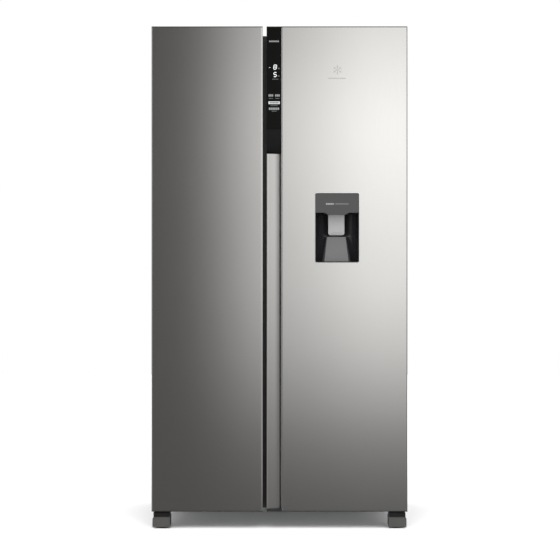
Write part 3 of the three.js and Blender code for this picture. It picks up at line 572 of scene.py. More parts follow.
def repeated_tree():
    """Repeats a piece over a grid of columns and rows, each with its own step."""
    if "repeated_pieces" in bpy.data.node_groups:
        return bpy.data.node_groups["repeated_pieces"]
    tree, given = tree_with("repeated_pieces", (
        ("Piece", "NodeSocketObject", None),
        ("Columns", "NodeSocketInt", 1),
        ("Rows", "NodeSocketInt", 1),
        ("Corner", "NodeSocketVector", (0, 0, 0)),
        ("Column Step", "NodeSocketVector", (0.1, 0, 0)),
        ("Row Step", "NodeSocketVector", (0, 0, 0.1)),
        ("Material", "NodeSocketMaterial", None),
    ))

    def number(operation, inputs):
        return result_of(tree, "ShaderNodeMath", inputs, operation=operation)

    def vector(operation, inputs):
        return result_of(tree, "ShaderNodeVectorMath", inputs, operation=operation)

    columns = given["Columns"]
    index = result_of(tree, "GeometryNodeInputIndex")
    total = number("MULTIPLY", {0: columns, 1: given["Rows"]})
    column = number("MODULO", {0: index, 1: columns})
    row = number("FLOOR", {0: number("DIVIDE", {0: index, 1: columns})})
    across = vector("SCALE", {0: given["Column Step"], "Scale": column})
    upward = vector("SCALE", {0: given["Row Step"], "Scale": row})
    offset = vector("ADD", {0: across, 1: upward})
    position = vector("ADD", {0: offset, 1: given["Corner"]})
    points = result_of(tree, "GeometryNodePoints", {"Count": total, "Position": position})
    source = object_geometry(tree, given["Piece"])
    spread = result_of(tree, "GeometryNodeInstanceOnPoints", {"Points": points, "Instance": source})
    return end_tree(tree, given, spread)


def framed_tree():
    """Sweeps a profile round an upright rounded rectangle, such as a door seal."""
    if "swept_frame" in bpy.data.node_groups:
        return bpy.data.node_groups["swept_frame"]
    tree, given = tree_with("swept_frame", (
        ("Profile", "NodeSocketObject", None),
        ("Width", "NodeSocketFloat", 0.3),
        ("Height", "NodeSocketFloat", 1.6),
        ("Corner Radius", "NodeSocketFloat", 0.01),
        ("Centre", "NodeSocketVector", (0, 0, 0)),
        ("Material", "NodeSocketMaterial", None),
    ))
    outline = result_of(
        tree, "GeometryNodeCurvePrimitiveQuadrilateral",
        {"Width": given["Width"], "Height": given["Height"]},
    )
    fillet = result_of(
        tree, "GeometryNodeFilletCurve",
        {"Curve": outline, "Radius": given["Corner Radius"], "Count": 5}, mode="POLY",
    )
    upright = result_of(
        tree, "GeometryNodeTransform",
        {"Geometry": fillet, "Rotation": (math.pi / 2, 0, 0), "Translation": given["Centre"]},
    )
    path = result_of(
        tree, "GeometryNodeSetCurveNormal", {"Curve": upright, "Normal": (0, 1, 0)}, mode="FREE"
    )
    section = result_of(
        tree, "GeometryNodeMeshToCurve", {"Mesh": object_geometry(tree, given["Profile"])}
    )
    sweep = result_of(tree, "GeometryNodeCurveToMesh", {"Curve": path, "Profile Curve": section})
    return end_tree(tree, given, sweep)


def grown_by(tree, name, values):
    """The plain mesh that a geometry tree makes from the given inputs."""
    carrier = link(bpy.data.objects.new(name, bpy.data.meshes.new(name)))
    modifier = carrier.modifiers.new("grown", "NODES")
    modifier.node_group = tree
    for item in tree.interface.items_tree:
        if item.in_out == "INPUT":
            modifier[item.identifier] = values[item.name]
    return settle(carrier)


def repeated(name, piece, material, grid, corner, steps, body, slot_name):
    """Copies of piece, columns along X and rows along Z, as one mesh that rides on body."""
    made = grown_by(repeated_tree(), name, {
        "Piece": piece,
        "Columns": grid[0],
        "Rows": grid[1],
        "Corner": corner,
        "Column Step": (steps[0], 0, 0),
        "Row Step": (0, 0, steps[1]),
        "Material": MATERIALS[material],
    })
    bpy.data.objects.remove(piece)
    place(made, material, body, slot_name)


def swept_frame(name, profile, low, high, depth, radius, material):
    """A profile carried round an upright rectangle; profile is (outward, rearward) in metres."""
    section = object_from(
        f"{name}_section",
        lambda bm: bm.faces.new([bm.verts.new((rearward, -outward, 0)) for outward, rearward in profile]),
    )
    made = grown_by(framed_tree(), name, {
        "Profile": section,
        "Width": high[0] - low[0],
        "Height": high[1] - low[1],
        "Corner Radius": radius,
        "Centre": ((low[0] + high[0]) / 2, depth, (low[1] + high[1]) / 2),
        "Material": MATERIALS[material],
    })
    bpy.data.objects.remove(section)
    bm = bmesh.new()
    bm.from_mesh(made.data)
    bmesh.ops.recalc_face_normals(bm, faces=bm.faces)
    bm.to_mesh(made.data)
    bm.free()
    return soften(made, 0.0, 1, 40)


def bar_piece(size, radius):
    """A softened bar about the world's origin, to be repeated or moved."""
    half = [side / 2 for side in size]
    bar = object_from("bar", lambda bm: add_box(bm, [-side for side in half], half))
    return soften(bar, radius, 2)


def single_bar(name, size, radius, centre, material, body, slot_name):
    """One softened bar with its middle at centre."""
    bar = bar_piece(size, radius)
    bar.name = name
    bar.data.transform(Matrix.Translation(centre))
    place(bar, material, body, slot_name)


def screw_piece(axis, direction):
    """A pan-head screw with a round socket; it stands on the world's origin and looks along axis."""
    radius = settings().sizes.screw_radius
    head = ((0, 0), (1, 0), (1, 0.16), (0.86, 0.36), (0.55, 0.5), (0.42, 0.5), (0.36, 0.24), (0, 0.24))
    profile = [(radius * r, direction * radius * along) for r, along in head]
    screw = object_from("screw", lambda bm: add_turned(bm, profile, (0, 0, 0), axis, 20))
    return soften(screw, 0.0, 1, 30)


# ---------------------------------------------------------------- stage


SOFTBOX_ACROSS = (
    (0.0, 0.0), (0.1, 0.0), (0.15, 0.16), (0.19, 0.38), (0.23, 0.52), (0.28, 0.62),
    (0.41, 0.95), (0.52, 0.95), (0.62, 0.6), (0.8, 0.3), (1.0, 0.0),
)
SOFTBOX_UPWARD = (
    (0.0, 0.02), (0.06, 0.06), (0.13, 0.14), (0.2, 0.35),
    (0.28, 0.58), (0.38, 0.78), (0.6, 1.0), (0.8, 0.7),
)
SIDE_ACROSS = ((0.0, 0.0), (0.3, 1.0), (0.7, 1.0), (1.0, 0.0))
SIDE_UPWARD = ((0.0, 0.24), (0.2, 0.42), (0.4, 0.78), (0.6, 1.0), (1.0, 1.0))
WHITE = (1, 1, 1, 1)


def make_floor():
    material = plain_material("floor", tuple(settings().studio.floor_colour), 0.0)
    grained(material, (40, 40, 40), 0.00002, (0.55, 0.65), 0.004)
    floor = object_from("floor", lambda bm: bmesh.ops.create_grid(bm, x_segments=1, y_segments=1, size=9.0))
    floor.data.materials.append(material)
    floor.visible_glossy = False


def make_world():
    """White to the eye, bright to matt surfaces and dim to whatever mirrors it."""
    studio = settings().studio
    world = bpy.data.worlds.new("studio")
    bpy.context.scene.world = world
    world.use_nodes = True
    tree = world.node_tree
    tree.nodes.clear()
    direction = add_node(tree, "ShaderNodeTexCoord").outputs["Generated"]
    parts = add_node(tree, "ShaderNodeSeparateXYZ", {0: direction})
    # a mirrored ray that points down meets the floor, one that points left meets the wall
    glows = (("Z", -0.46, -0.3, studio.floor_glow), ("X", -0.42, -0.2, studio.wall_glow))
    brightness = {}
    for count, (axis, full, none, glow) in enumerate(glows):
        brightness[count] = result_of(tree, "ShaderNodeMapRange", {
            "Value": parts.outputs[axis],
            "From Min": full,
            "From Max": none,
            "To Min": glow,
            "To Max": studio.room_light,
        }, interpolation_type="SMOOTHSTEP")
    brightest = result_of(tree, "ShaderNodeMath", brightness, operation="MAXIMUM")
    warm = {"Color": (1.0, 0.99, 0.975, 1), "Strength": brightest}
    mirrored = result_of(tree, "ShaderNodeBackground", warm)
    even = {"Color": WHITE, "Strength": studio.ambient_light}
    ambient = result_of(tree, "ShaderNodeBackground", even)
    white = result_of(tree, "ShaderNodeBackground", {"Color": WHITE})
    path = add_node(tree, "ShaderNodeLightPath")
    matt = path.outputs["Is Diffuse Ray"]
    shaded = result_of(tree, "ShaderNodeMixShader", {0: matt, 1: mirrored, 2: ambient})
    eye = path.outputs["Is Camera Ray"]
    seen = result_of(tree, "ShaderNodeMixShader", {0: eye, 1: shaded, 2: white})
    add_node(tree, "ShaderNodeOutputWorld", {"Surface": seen})


def aim(obj, centre, target):
    obj.location = centre
    obj.rotation_mode = "QUATERNION"
    obj.rotation_quaternion = (Vector(target) - Vector(centre)).to_track_quat("-Z", "Y")


def fade(tree, value, stops):
    """Brightness along one side of a softbox; stops are (position, brightness)."""
    ramp = tree.nodes.new("ShaderNodeValToRGB")
    ramp.color_ramp.interpolation = "EASE"
    elements = ramp.color_ramp.elements
    for position, brightness in stops[1:-1]:
        elements.new(position)
    for element, (position, brightness) in zip(elements, stops):
        element.position = position
        element.color = (brightness, brightness, brightness, 1)
    tree.links.new(value, ramp.inputs["Fac"])
    return ramp.outputs["Color"]


def softbox(name, centre, target, size, radiance, across, upward):
    """A soft light panel that faces target and fades out towards its edges."""
    light = bpy.data.lights.new(name, "AREA")
    light.shape = "RECTANGLE"
    light.size, light.size_y = size
    light.energy = radiance * math.pi * size[0] * size[1]
    light.use_nodes = True
    tree = light.node_tree
    surface = add_node(tree, "ShaderNodeNewGeometry").outputs["Parametric"]
    split = add_node(tree, "ShaderNodeSeparateXYZ", {0: surface})
    sides = {0: fade(tree, split.outputs["X"], across), 1: fade(tree, split.outputs["Y"], upward)}
    both = result_of(tree, "ShaderNodeMath", sides, operation="MULTIPLY")
    tree.links.new(both, tree.nodes["Emission"].inputs["Strength"])
    lamp = link(bpy.data.objects.new(name, light))
    aim(lamp, centre, target)
    lamp.visible_camera = False


def make_lights():
    studio = settings().studio
    softbox(
        "front_softbox", (0.7, -2.3, 1.3), (0.7, 0.0, 1.3), (2.8, 3.2),
        studio.softbox_radiance, SOFTBOX_ACROSS, SOFTBOX_UPWARD,
    )
    for side, sign in (("left", -1), ("right", 1)):
        softbox(
            f"{side}_softbox", (sign * 2.3, -1.75, 1.3), (0.0, -0.4, 1.3), (1.2, 3.2),
            studio.side_radiance, SIDE_ACROSS, SIDE_UPWARD,
        )
    sun = bpy.data.lights.new("overhead", "SUN")
    sun.energy = studio.overhead_strength
    sun.angle = math.radians(50)
    lamp = link(bpy.data.objects.new("overhead", sun))
    aim(lamp, (0.0, -2.2, 3.0), (0.0, 0.0, 0.0))
    lamp.visible_glossy = False


def make_camera():
    studio = settings().studio
    lens = bpy.data.cameras.new("camera")
    lens.sensor_width = 36.0
    lens.lens = lens.sensor_width * studio.camera_distance / studio.view_width
    lens.clip_end = 100.0
    camera = link(bpy.data.objects.new("camera", lens))
    camera.location = (0.002, CAD_BOX[0].y - studio.camera_distance, studio.camera_height)
    camera.rotation_euler = (math.pi / 2, 0, 0)
    bpy.context.scene.camera = camera


# ---------------------------------------------------------------- cabinet


BEAD_SIZE = (0.022, 0.006, 1.3)
BEAD_PITCH = 0.2
BAFFLE_SIZE = (0.74, 0.014, 0.046)
BAFFLE_CENTRE = (0.0, 0.12, 0.0382)
LIP_SIZE = (0.003, 0.0022)  # depth and height of the lip under an air vent
LAMP_SIZE = (0.11, 0.006, 0.036)
LAMP_HEIGHT = 1.64
COVER_MIDDLE = -0.2385  # of the cold air cover, across
DUCT_MIDDLE = 0.191
SCREW_FOOT, SCREW_RISE = 0.42, 1.24  # lowest screw of a cover, and from there to the highest
GLASS_THICKNESS = 0.005
# vents of the cold air cover and of the duct: heights, then columns, rows, first middle, pitches, width
VENTS = {
    "cold_air_lips": ((0.700, 1.060, 1.430, 1.560), (1, 3), COVER_MIDDLE, (0, 0.016), 0.163),
    "duct_lips": ((0.690, 1.050, 1.420), (2, 3), 0.150, (0.082, 0.015), 0.056),
}


def make_cabinet():
    sheet = settings().sizes.sheet_radius
    finished("outer_case", "case_sheet", "case_paint", sheet, 2)
    finished("base_pan", "base_sheet", "zinc", sheet, 1)
    for side in SIDES:
        finished(f"top_hinge_{side}", f"top_hinge_plate_{side}", "zinc", 0.0005, 2)
        finished(f"hinge_cover_{side}", f"hinge_cap_{side}", "cap_plastic", 0.0025, 3)
        finished(f"bottom_hinge_{side}", f"bottom_bracket_{side}", "bracket_black", 0.001, 2)
        finished(f"front_foot_{side}", f"foot_block_{side}", "foot_plastic", 0.0012, 2)
        finished(f"leveller_{side}", f"levelling_foot_{side}", "bracket_black", 0.0, 1)
        finished(f"rear_roller_{side}", f"roller_{side}", "roller_plastic", 0.0015, 2)
    paint(NODES["insulation_foam"], "foam")
    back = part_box("outer_case")[1].y
    repeated(
        "back_beads", bar_piece(BEAD_SIZE, 0.0029), "case_paint", (4, 1),
        (-1.5 * BEAD_PITCH, back, 1.06), (BEAD_PITCH, 0), "cabinet", "case_paint",
    )
    single_bar(
        "air_baffle", BAFFLE_SIZE, 0.002, BAFFLE_CENTRE, "roller_plastic", "cabinet", "roller_plastic"
    )
    repeated(
        "hinge_cover_screws", screw_piece(2, 1), "screw_steel", (2, 1),
        (-0.405, -0.226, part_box("hinge_cover_left")[1].z), (0.81, 0), "cabinet", "zinc",
    )


def make_liners():
    for room in ROOMS:
        finished(f"{room}_liner", f"{room}_tub", "liner_white", 0.0025, 3)
    finished("evaporator_cover", "cold_air_cover", "liner_white", 0.0, 1, 25.0)
    finished("air_duct_panel", "air_duct", "liner_white", 0.0, 1, 25.0)
    cover_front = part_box("evaporator_cover")[0].y
    duct_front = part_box("air_duct_panel")[0].y
    fronts = {"cold_air_lips": cover_front, "duct_lips": duct_front}
    for name, (heights, grid, first, pitches, width) in VENTS.items():
        for count, height in enumerate(heights, 1):
            repeated(
                f"{name}_{count}", bar_piece((width, *LIP_SIZE), 0.0008), "trim_white", grid,
                (first, fronts[name] - 0.0002, height - 0.0015), pitches, "cabinet", "liner_white",
            )
    repeated(
        "cold_air_screws", screw_piece(1, -1), "screw_steel", (2, 2),
        (-0.366, cover_front, SCREW_FOOT), (0.256, SCREW_RISE), "cabinet", "liner_white",
    )
    repeated(
        "duct_screws", screw_piece(1, -1), "screw_steel", (1, 2),
        (DUCT_MIDDLE, duct_front, SCREW_FOOT), (0, SCREW_RISE), "cabinet", "liner_white",
    )
    lamps = (("freezer", COVER_MIDDLE, cover_front), ("fridge", DUCT_MIDDLE, duct_front))
    for room, x, front in lamps:
        single_bar(
            f"{room}_lamp", LAMP_SIZE, 0.0025, (x, front - 0.0005, LAMP_HEIGHT),
            "lamp_lens", "cabinet", "liner_white",
        )


def make_shelf(room, level):
    """A glass plate that stands for the shelf's node, and a moulded trim along its front."""
    node = f"{room}_shelf_{level}"
    low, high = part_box(node)
    under = low.z + 0.008
    over = under + GLASS_THICKNESS
    glass_front = low.y + 0.0045
    glass = object_from(
        f"{node}_glass",
        lambda bm: add_box(bm, (low.x, glass_front, under), (high.x, high.y, over)),
    )
    soften(glass, 0.0008, 2)
    place(glass, "shelf_glass", "cabinet", "shelf_glass", node)
    groove = low.y + 0.0042
    rear = low.y + 0.012
    outline = (
        (rear, low.z), (rear, under - HAIR), (groove, under - HAIR), (groove, over + HAIR),
        (rear, over + HAIR), (rear, high.z - 0.002), (low.y + 0.010, high.z), (low.y + 0.004, high.z),
        (low.y + 0.001, high.z - 0.002), (low.y, high.z - 0.006), (low.y, low.z + 0.005),
        (low.y + 0.002, low.z + 0.001), (low.y + 0.005, low.z),
    )
    trim = object_from(f"{node}_trim", lambda bm: add_prism(bm, outline, 0, low.x, high.x))
    soften(trim, 0.0004, 1)
    place(trim, "trim_white", "cabinet", "liner_white")


# ---------------------------------------------------------------- doors


# sections in millimetres: (right of the panel's edge, behind its front)
LIP_OUTLINE = (
    (3.4, 6.8), (10.0, 7.4), (15.4, 7.4), (15.4, 12.0), (14.2, 12.0), (14.2, 8.6), (3.4, 8.0),
)
BEAD_OUTLINE = (
    (-0.55, 1.8), (-0.6, 0.6), (-0.45, 0.0), (-0.15, -0.3), (0.3, -0.42), (0.9, -0.36),
    (1.5, -0.02), (-0.22, -0.02), (-0.22, 1.8),
)
# section of a bellows gasket in millimetres: (outward, rearward)
GASKET_PROFILE = (
    (-9, 0), (9, 0), (9, 1.6), (6.2, 2.4), (7.4, 4.4), (8.7, 6.8), (8.2, 9.2), (9, 10.2), (9, 13.4),
    (-9, 13.4), (-9, 10.2), (-7.2, 9), (-5.2, 6.6), (-7, 4.2), (-6, 2.4), (-9, 1.6),
)
GASKET_HALF_WIDTH = 0.009


def make_door_shells():
    for room in ROOMS:
        finished(f"{room}_door_skin", f"{room}_door_sheet", "satin_steel", 0.0, 1, 25.0)
        finished(f"{room}_door_top_cap", f"{room}_door_cap_top", "cap_plastic", 0.0005, 2)
        finished(f"{room}_door_bottom_cap", f"{room}_door_cap_bottom", "cap_plastic", 0.0005, 2)
        finished(f"{room}_door_liner", f"{room}_door_panel", "liner_white", 0.002, 3)
        finished(f"{room}_door_foam", f"{room}_door_filling", "foam", 0.0, 1)
    finished("handle_channel", "finger_channel", "channel_steel", 0.0, 1, 40.0)


def make_channel_edges():
    """What closes the finger channel against the panel: edge strip, folded lip and bead."""
    glass_low, glass_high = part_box("control_glass")
    channel_low, channel_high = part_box("handle_channel")
    edge = glass_high.x + 0.0006
    front = glass_low.y
    strip = object_from("panel_edge_strip", lambda bm: add_box(
        bm,
        (glass_high.x + 0.0001, front + 0.002, channel_high.z),
        (edge - 0.0001, front + 0.006, glass_high.z),
    ))
    soften(strip, 0.00008, 1)
    place(strip, "gasket_rubber", "fridge_door", "gasket_rubber")
    edges = (
        ("channel_lip", LIP_OUTLINE, channel_high.z, "bright_edge"),
        ("panel_fold_bead", BEAD_OUTLINE, glass_high.z - 0.002, "satin_steel"),
    )
    foot = channel_low.z + 0.001
    for name, section, top, finish in edges:
        outline = [(edge + u / 1000, front + v / 1000) for u, v in section]
        piece = object_from(name, lambda bm: add_prism(bm, outline, 2, foot, top))
        soften(piece, 0.0, 1, 50)
        place(piece, finish, "fridge_door", "steel")


def make_gaskets():
    profile = [(u / 1000, v / 1000) for u, v in GASKET_PROFILE]
    half = GASKET_HALF_WIDTH
    for room in ROOMS:
        node = f"{room}_door_gasket"
        low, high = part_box(node)
        seal = swept_frame(
            f"{room}_door_seal", profile, (low.x + half, low.z + half), (high.x - half, high.z - half),
            low.y, 0.004, "gasket_rubber",
        )
        place(seal, "gasket_rubber", f"{room}_door", "gasket_rubber", node)


def make_ribs(name, count, margin, low, high, size, radius, y, z, body):
    """Upright ribs spread evenly over the front of a clear box, margin in from its sides."""
    pitch = (high.x - low.x - 2 * margin) / (count - 1)
    first = (low.x + high.x) / 2 - (count - 1) / 2 * pitch
    repeated(
        name, bar_piece(size, radius), "clear_plastic", (count, 1), (first, y, z), (pitch, 0),
        body, "clear_plastic",
    )


def make_bins():
    for room in ROOMS:
        body = f"{room}_door"
        for level in LEVELS:
            node = f"{room}_bin_{level}"
            finished(node, f"{room}_door_bin_{level}", "clear_plastic", 0.0008, 2)
            low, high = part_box(node)
            single_bar(
                f"{node}_rail", (high.x - low.x - 0.05, 0.003, 0.009), 0.0012,
                ((low.x + high.x) / 2, high.y + 0.0016, high.z - 0.006),
                "trim_white", body, "liner_white",
            )
            make_ribs(
                f"{node}_ribs", 9, 0.035, low, high, (0.0022, 0.0012, 0.06), 0.0004,
                high.y + 0.0007, low.z + 0.045, body,
            )
    finished("water_tank", "tank", "clear_plastic", 0.0008, 2)
    finished("tank_lid", "tank_cover", "trim_white", settings().sizes.edge_radius, 2)


# section of a drawer's handle in millimetres: (behind the drawer's front, below its top)
HANDLE_OUTLINE = (
    (-0.3, 26.0), (-9.5, 26.5), (-11.5, 28.5), (-11.5, 33.5), (-9.5, 36.0), (-0.3, 40.0),
)


def make_drawers():
    for node in ("freezer_drawer_lower", "freezer_drawer_upper", "crisper_lower", "crisper_upper"):
        finished(node, f"{node}_box", "clear_plastic", 0.0008, 2)
        low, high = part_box(node)
        outline = [(low.y + u / 1000, high.z - v / 1000) for u, v in HANDLE_OUTLINE]
        handle = object_from(
            f"{node}_handle", lambda bm: add_prism(bm, outline, 0, low.x + 0.006, high.x - 0.006)
        )
        soften(handle, 0.0008, 2)
        place(handle, "trim_white", BODY_OF[node], "clear_plastic")
        make_ribs(
            f"{node}_ribs", 11, 0.025, low, high, (0.0024, 0.0014, high.z - low.z - 0.075), 0.0005,
            low.y - 0.0009, (low.z + high.z) / 2 - 0.02, BODY_OF[node],
        )


# ---------------------------------------------------------------- control panel and dispenser


SEGMENTS = {"8": "abcdefg", "5": "acdfg"}
PRINT_THICKNESS = 0.00012
# panel signs as rows of short bars: right of the middle, below the top, width, height, number
GREY_DASHES = (
    (-0.0118, 0.2425, 0.0175, 0.0078, 3), (0.0116, 0.2425, 0.0175, 0.0078, 3),
    (-0.0005, 0.2898, 0.038, 0.0082, 5), (-0.0005, 0.05, 0.036, 0.0054, 5),
)
FAINT_DASHES = (
    (0.004, 0.1845, 0.022, 0.0022, 4), (-0.0118, 0.253, 0.015, 0.0022, 3),
    (0.0116, 0.253, 0.015, 0.0022, 3), (0.0, 0.2785, 0.026, 0.0022, 4), (0.0, 0.2985, 0.018, 0.0022, 3),
)
DARK_DASHES = ((0.0, 0.2685, 0.032, 0.0034, 6),)
# digits and rings: below the top
DIGIT_PLACES = (("8", 0.1416), ("5", 0.1682))
RING_DROPS = (0.1465, 0.1732)
MARK_MIDDLE = 0.2063
MARK_DROP = 0.1515


def segment_outlines(digit, centre, height):
    """Bars of a seven-segment digit, leaning a little to the right."""
    half_w, half_h, thick = 0.28 * height, 0.42 * height, 0.16 * height
    places = {
        "a": (0, half_h, False), "b": (half_w, half_h / 2, True), "c": (half_w, -half_h / 2, True),
        "d": (0, -half_h, False), "e": (-half_w, -half_h / 2, True), "f": (-half_w, half_h / 2, True),
        "g": (0, 0, False),
    }
    outlines = []
    for letter in SEGMENTS[digit]:
        x, z, upright = places[letter]
        reach = (half_h if upright else 2 * half_w) / 2 - 0.02 * height
        bar = (
            (-reach, 0), (-reach + thick / 2, -thick / 2), (reach - thick / 2, -thick / 2),
            (reach, 0), (reach - thick / 2, thick / 2), (-reach + thick / 2, thick / 2),
        )
        corners = [(x - v, z + u) if upright else (x + u, z + v) for u, v in bar]
        outlines.append([(centre[0] + u + 0.1 * v, centre[1] + v) for u, v in corners])
    return outlines


def bar_outline(x, z, width, height, radius=0.0006):
    """A small rounded bar with its middle at (x, z)."""
    return rounded_rectangle((x - width / 2, z - height / 2), (x + width / 2, z + height / 2), radius, 3)


def dashes(x, z, width, height, count):
    """A row of short bars that stands for a caption."""
    pitch = width / count
    first = x - width / 2 + pitch / 2
    return [bar_outline(first + k * pitch, z, 0.78 * pitch, height, 0.0004) for k in range(count)]


def ring_outline(x, z, radius, thick):
    """A small ring as a row of short bars."""
    outlines = []
    for k in range(10):
        outer = arc((x, z), radius, 36 * k, 36 * k + 34, 2)
        inner = arc((x, z), radius - thick, 36 * k + 34, 36 * k, 2)
        outlines.append(outer + inner)
    return outlines


def printed(name, outlines, front, material, body, slot_name, thick=PRINT_THICKNESS):
    """Flat shapes that stand just proud of an upright face at y = front."""
    def build(bm):
        for outline in outlines:
            add_prism(bm, outline, 1, front - thick - 0.00002, front - 0.00002)

    place(object_from(name, build), material, body, slot_name)


def make_control_panel():
    finished("control_glass", "panel_window", "panel_glass", 0.0006, 2)
    finished("control_housing", "panel_body", "panel_black", 0.0006, 2)
    low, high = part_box("control_glass")
    middle = (low.x + high.x) / 2 + 0.0005
    size = settings().sizes.digit_height

    def rows(places):
        outlines = []
        for right, drop, width, height, count in places:
            outlines += dashes(middle + right, high.z - drop, width, height, count)
        return outlines

    white = []
    for digit, drop in DIGIT_PLACES:
        white += segment_outlines(digit, (middle + 0.0035, high.z - drop), size)
    white.append(bar_outline(middle - 0.0155, high.z - 0.143, 0.0042, 0.0017))
    pale = [bar_outline(middle, high.z - 0.2685, 0.0405, 0.0096, 0.0008)]
    grey = []
    for drop in RING_DROPS:
        grey += ring_outline(middle + 0.0165, high.z - drop, 0.0021, 0.001)
    grey += rows(GREY_DASHES)
    signs = (
        ("white", white, "sign_white", low.y),
        ("pale", pale, "sign_pale", low.y),
        ("grey", grey, "sign_grey", low.y),
        ("faint", rows(FAINT_DASHES), "sign_faint", low.y),
        ("dark", rows(DARK_DASHES), "panel_black", low.y - 0.00014),
    )
    for name, outlines, material, front in signs:
        printed(f"panel_signs_{name}", outlines, front, material, "fridge_door", "panel_glass")


def snowflake(x, z, radius, thick):
    """A six-armed frost sign."""
    half = thick / 2
    start, reach = 0.55 * radius, 0.26 * radius
    bars = [((thick, -half), (radius, -half), (radius, half), (thick, half))]
    for side in (-1, 1):
        bars.append((
            (start, side * half * 1.2), (start + thick, side * half * 1.2),
            (start + reach + thick, side * reach), (start + reach, side * reach),
        ))
    outlines = []
    for k in range(6):
        turn = math.radians(60 * k + 30)
        cos, sin = math.cos(turn), math.sin(turn)
        for bar in bars:
            outlines.append([(x + cos * u - sin * v, z + sin * u + cos * v) for u, v in bar])
    return outlines


def make_door_mark():
    """A frost sign over a plain rule, printed on the right door."""
    low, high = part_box("fridge_door_skin")
    height = high.z - MARK_DROP
    outlines = snowflake(MARK_MIDDLE, height, 0.0165, 0.0014)
    outlines += dashes(MARK_MIDDLE - 0.0015, height - 0.0298, 0.062, 0.003, 9)
    printed("door_mark", outlines, low.y, "mark_print", "fridge_door", "steel", 0.00008)


# section of the dispenser's rim in millimetres: (outward, rearward)
RIM_PROFILE = ((0.5, -0.02), (0.8, -0.42), (1.5, -0.52), (2.2, -0.32), (2.4, -0.02))
# captions: middle, width, height and number of bars
CAPTIONS = {"bold": (0.1795, 0.029, 0.0056, 5), "fine": (0.2225, 0.047, 0.0046, 8)}


def make_dispenser():
    finished("dispenser_housing", "dispenser_recess", "dispenser_black", 0.0008, 3)
    finished("dispenser_fascia", "dispenser_front", "fascia_grey", 0.0006, 2)
    finished("dispenser_ramp", "dispenser_spine", "ramp_grey", 0.0015, 3)
    finished("dispenser_paddle", "paddle", "paddle_silver", 0.0008, 3)
    low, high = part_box("dispenser_housing")
    profile = [(u / 1000, v / 1000) for u, v in RIM_PROFILE]
    rim = swept_frame(
        "dispenser_rim", profile, (low.x, low.z), (high.x, high.z), low.y, 0.0062, "bright_edge"
    )
    place(rim, "bright_edge", "fridge_door", "steel")
    fascia_low, fascia_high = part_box("dispenser_fascia")
    height = (fascia_low.z + fascia_high.z) / 2 + 0.0003
    for kind, (middle, *bars) in CAPTIONS.items():
        printed(
            f"dispenser_caption_{kind}", dashes(middle, height, *bars), low.y,
            f"caption_{kind}", "fridge_door", "dispenser_grey",
        )


# ---------------------------------------------------------------- machine compartment


# section of a louvre's hood in metres: (behind the cover, above its slot's lower edge)
HOOD_OUTLINE = ((0.0, 0.0128), (0.0, 0.0086), (0.0042, 0.0058), (0.0052, 0.0058), (0.0052, 0.0076))


def make_machine_room():
    finished("compressor", "compressor_pot", "compressor_black", 0.001, 2)
    finished("cooling_fan", "fan_wheel", "cap_plastic", 0.0005, 1)
    finished("machine_cover", "rear_cover", "zinc", 0.0, 1)
    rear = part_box("machine_cover")[1].y + 0.00002
    rows = settings().sizes.louvre_rows
    for side, left, columns in (("left", -0.250, 1), ("right", 0.110, 2)):
        hood = object_from("hood", lambda bm: add_prism(bm, HOOD_OUTLINE, 0, -0.001, 0.111))
        repeated(
            f"louvres_{side}", soften(hood, 0.0003, 1), "zinc", (columns, rows),
            (left, rear, 0.1), (0.13, 0.02), "cabinet", "zinc",
        )
    repeated(
        "cover_screws", screw_piece(1, 1), "screw_steel", (5, 2),
        (-0.41, rear, 0.082), (0.205, 0.2), "cabinet", "zinc",
    )
    finished("mains_inlet", "inlet_bush", "cap_plastic", 0.0008, 2)


# ---------------------------------------------------------------- operators


class RefrigeratorStage(bpy.types.Operator):
    """Camera, floor, lights and the finishes"""

    bl_idname = "refrigerator.stage"
    bl_label = "Stage"

    def execute(self, context):
        make_camera()
        make_world()
        make_lights()
        make_floor()
        make_materials()
        return {"FINISHED"}


class RefrigeratorCabinet(bpy.types.Operator):
    """Case, base, hinges, feet and rollers"""

    bl_idname = "refrigerator.cabinet"
    bl_label = "Cabinet"

    def execute(self, context):
        make_cabinet()
        return {"FINISHED"}


class RefrigeratorInterior(bpy.types.Operator):
    """Liners, covers and glass shelves"""

    bl_idname = "refrigerator.interior"
    bl_label = "Interior"

    def execute(self, context):
        make_liners()
        for room in ROOMS:
            for level in LEVELS:
                make_shelf(room, level)
        return {"FINISHED"}


class RefrigeratorDrawers(bpy.types.Operator):
    """Freezer drawers and crispers"""

    bl_idname = "refrigerator.drawers"
    bl_label = "Drawers"

    def execute(self, context):
        make_drawers()
        return {"FINISHED"}


class RefrigeratorDoors(bpy.types.Operator):
    """Door sheets, caps, inner panels and seals"""

    bl_idname = "refrigerator.doors"
    bl_label = "Doors"

    def execute(self, context):
        make_door_shells()
        make_channel_edges()
        make_gaskets()
        make_door_mark()
        return {"FINISHED"}


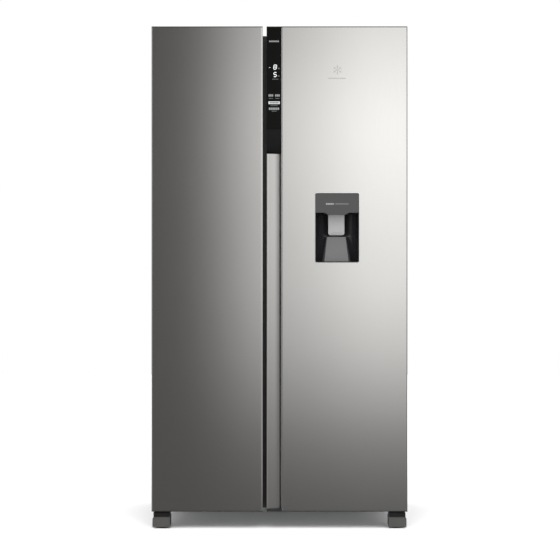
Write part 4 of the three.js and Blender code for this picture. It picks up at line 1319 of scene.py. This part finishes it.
class RefrigeratorBins(bpy.types.Operator):
    """Door bins, water tank and its lid"""

    bl_idname = "refrigerator.bins"
    bl_label = "Door bins"

    def execute(self, context):
        make_bins()
        return {"FINISHED"}


class RefrigeratorPanel(bpy.types.Operator):
    """Control panel with its lit signs"""

    bl_idname = "refrigerator.panel"
    bl_label = "Control panel"

    def execute(self, context):
        make_control_panel()
        return {"FINISHED"}


class RefrigeratorDispenser(bpy.types.Operator):
    """Water dispenser"""

    bl_idname = "refrigerator.dispenser"
    bl_label = "Dispenser"

    def execute(self, context):
        make_dispenser()
        return {"FINISHED"}


class RefrigeratorMachine(bpy.types.Operator):
    """Compressor, fan, rear cover and mains inlet"""

    bl_idname = "refrigerator.machine"
    bl_label = "Machine compartment"

    def execute(self, context):
        make_machine_room()
        return {"FINISHED"}


STEPS = (
    RefrigeratorStage,
    RefrigeratorCabinet,
    RefrigeratorInterior,
    RefrigeratorDrawers,
    RefrigeratorDoors,
    RefrigeratorBins,
    RefrigeratorPanel,
    RefrigeratorDispenser,
    RefrigeratorMachine,
)


class VIEW3D_PT_refrigerator(bpy.types.Panel):
    """Lists the settings and the steps"""

    bl_label = "Refrigerator"
    bl_space_type = "VIEW_3D"
    bl_region_type = "UI"
    bl_category = "Refrigerator"

    def draw(self, context):
        everything = context.scene.refrigerator
        for group in (everything.finish, everything.sizes, everything.studio):
            column = self.layout.column(align=True)
            for name in group.__annotations__:
                column.prop(group, name)
        for step in STEPS:
            self.layout.operator(step.bl_idname)


CLASSES = (
    RefrigeratorFinish,
    RefrigeratorSizes,
    RefrigeratorStudio,
    RefrigeratorSettings,
    *STEPS,
    VIEW3D_PT_refrigerator,
)


def register():
    for each in CLASSES:
        bpy.utils.register_class(each)
    bpy.types.Scene.refrigerator = PointerProperty(type=RefrigeratorSettings)


def unregister():
    del bpy.types.Scene.refrigerator
    for each in reversed(CLASSES):
        bpy.utils.unregister_class(each)


def main():
    register()
    bpy.context.scene.view_settings.view_transform = "Standard"
    for step in STEPS:
        category, name = step.bl_idname.split(".")
        getattr(getattr(bpy.ops, category), name)()


if __name__ == "__main__":
    main()
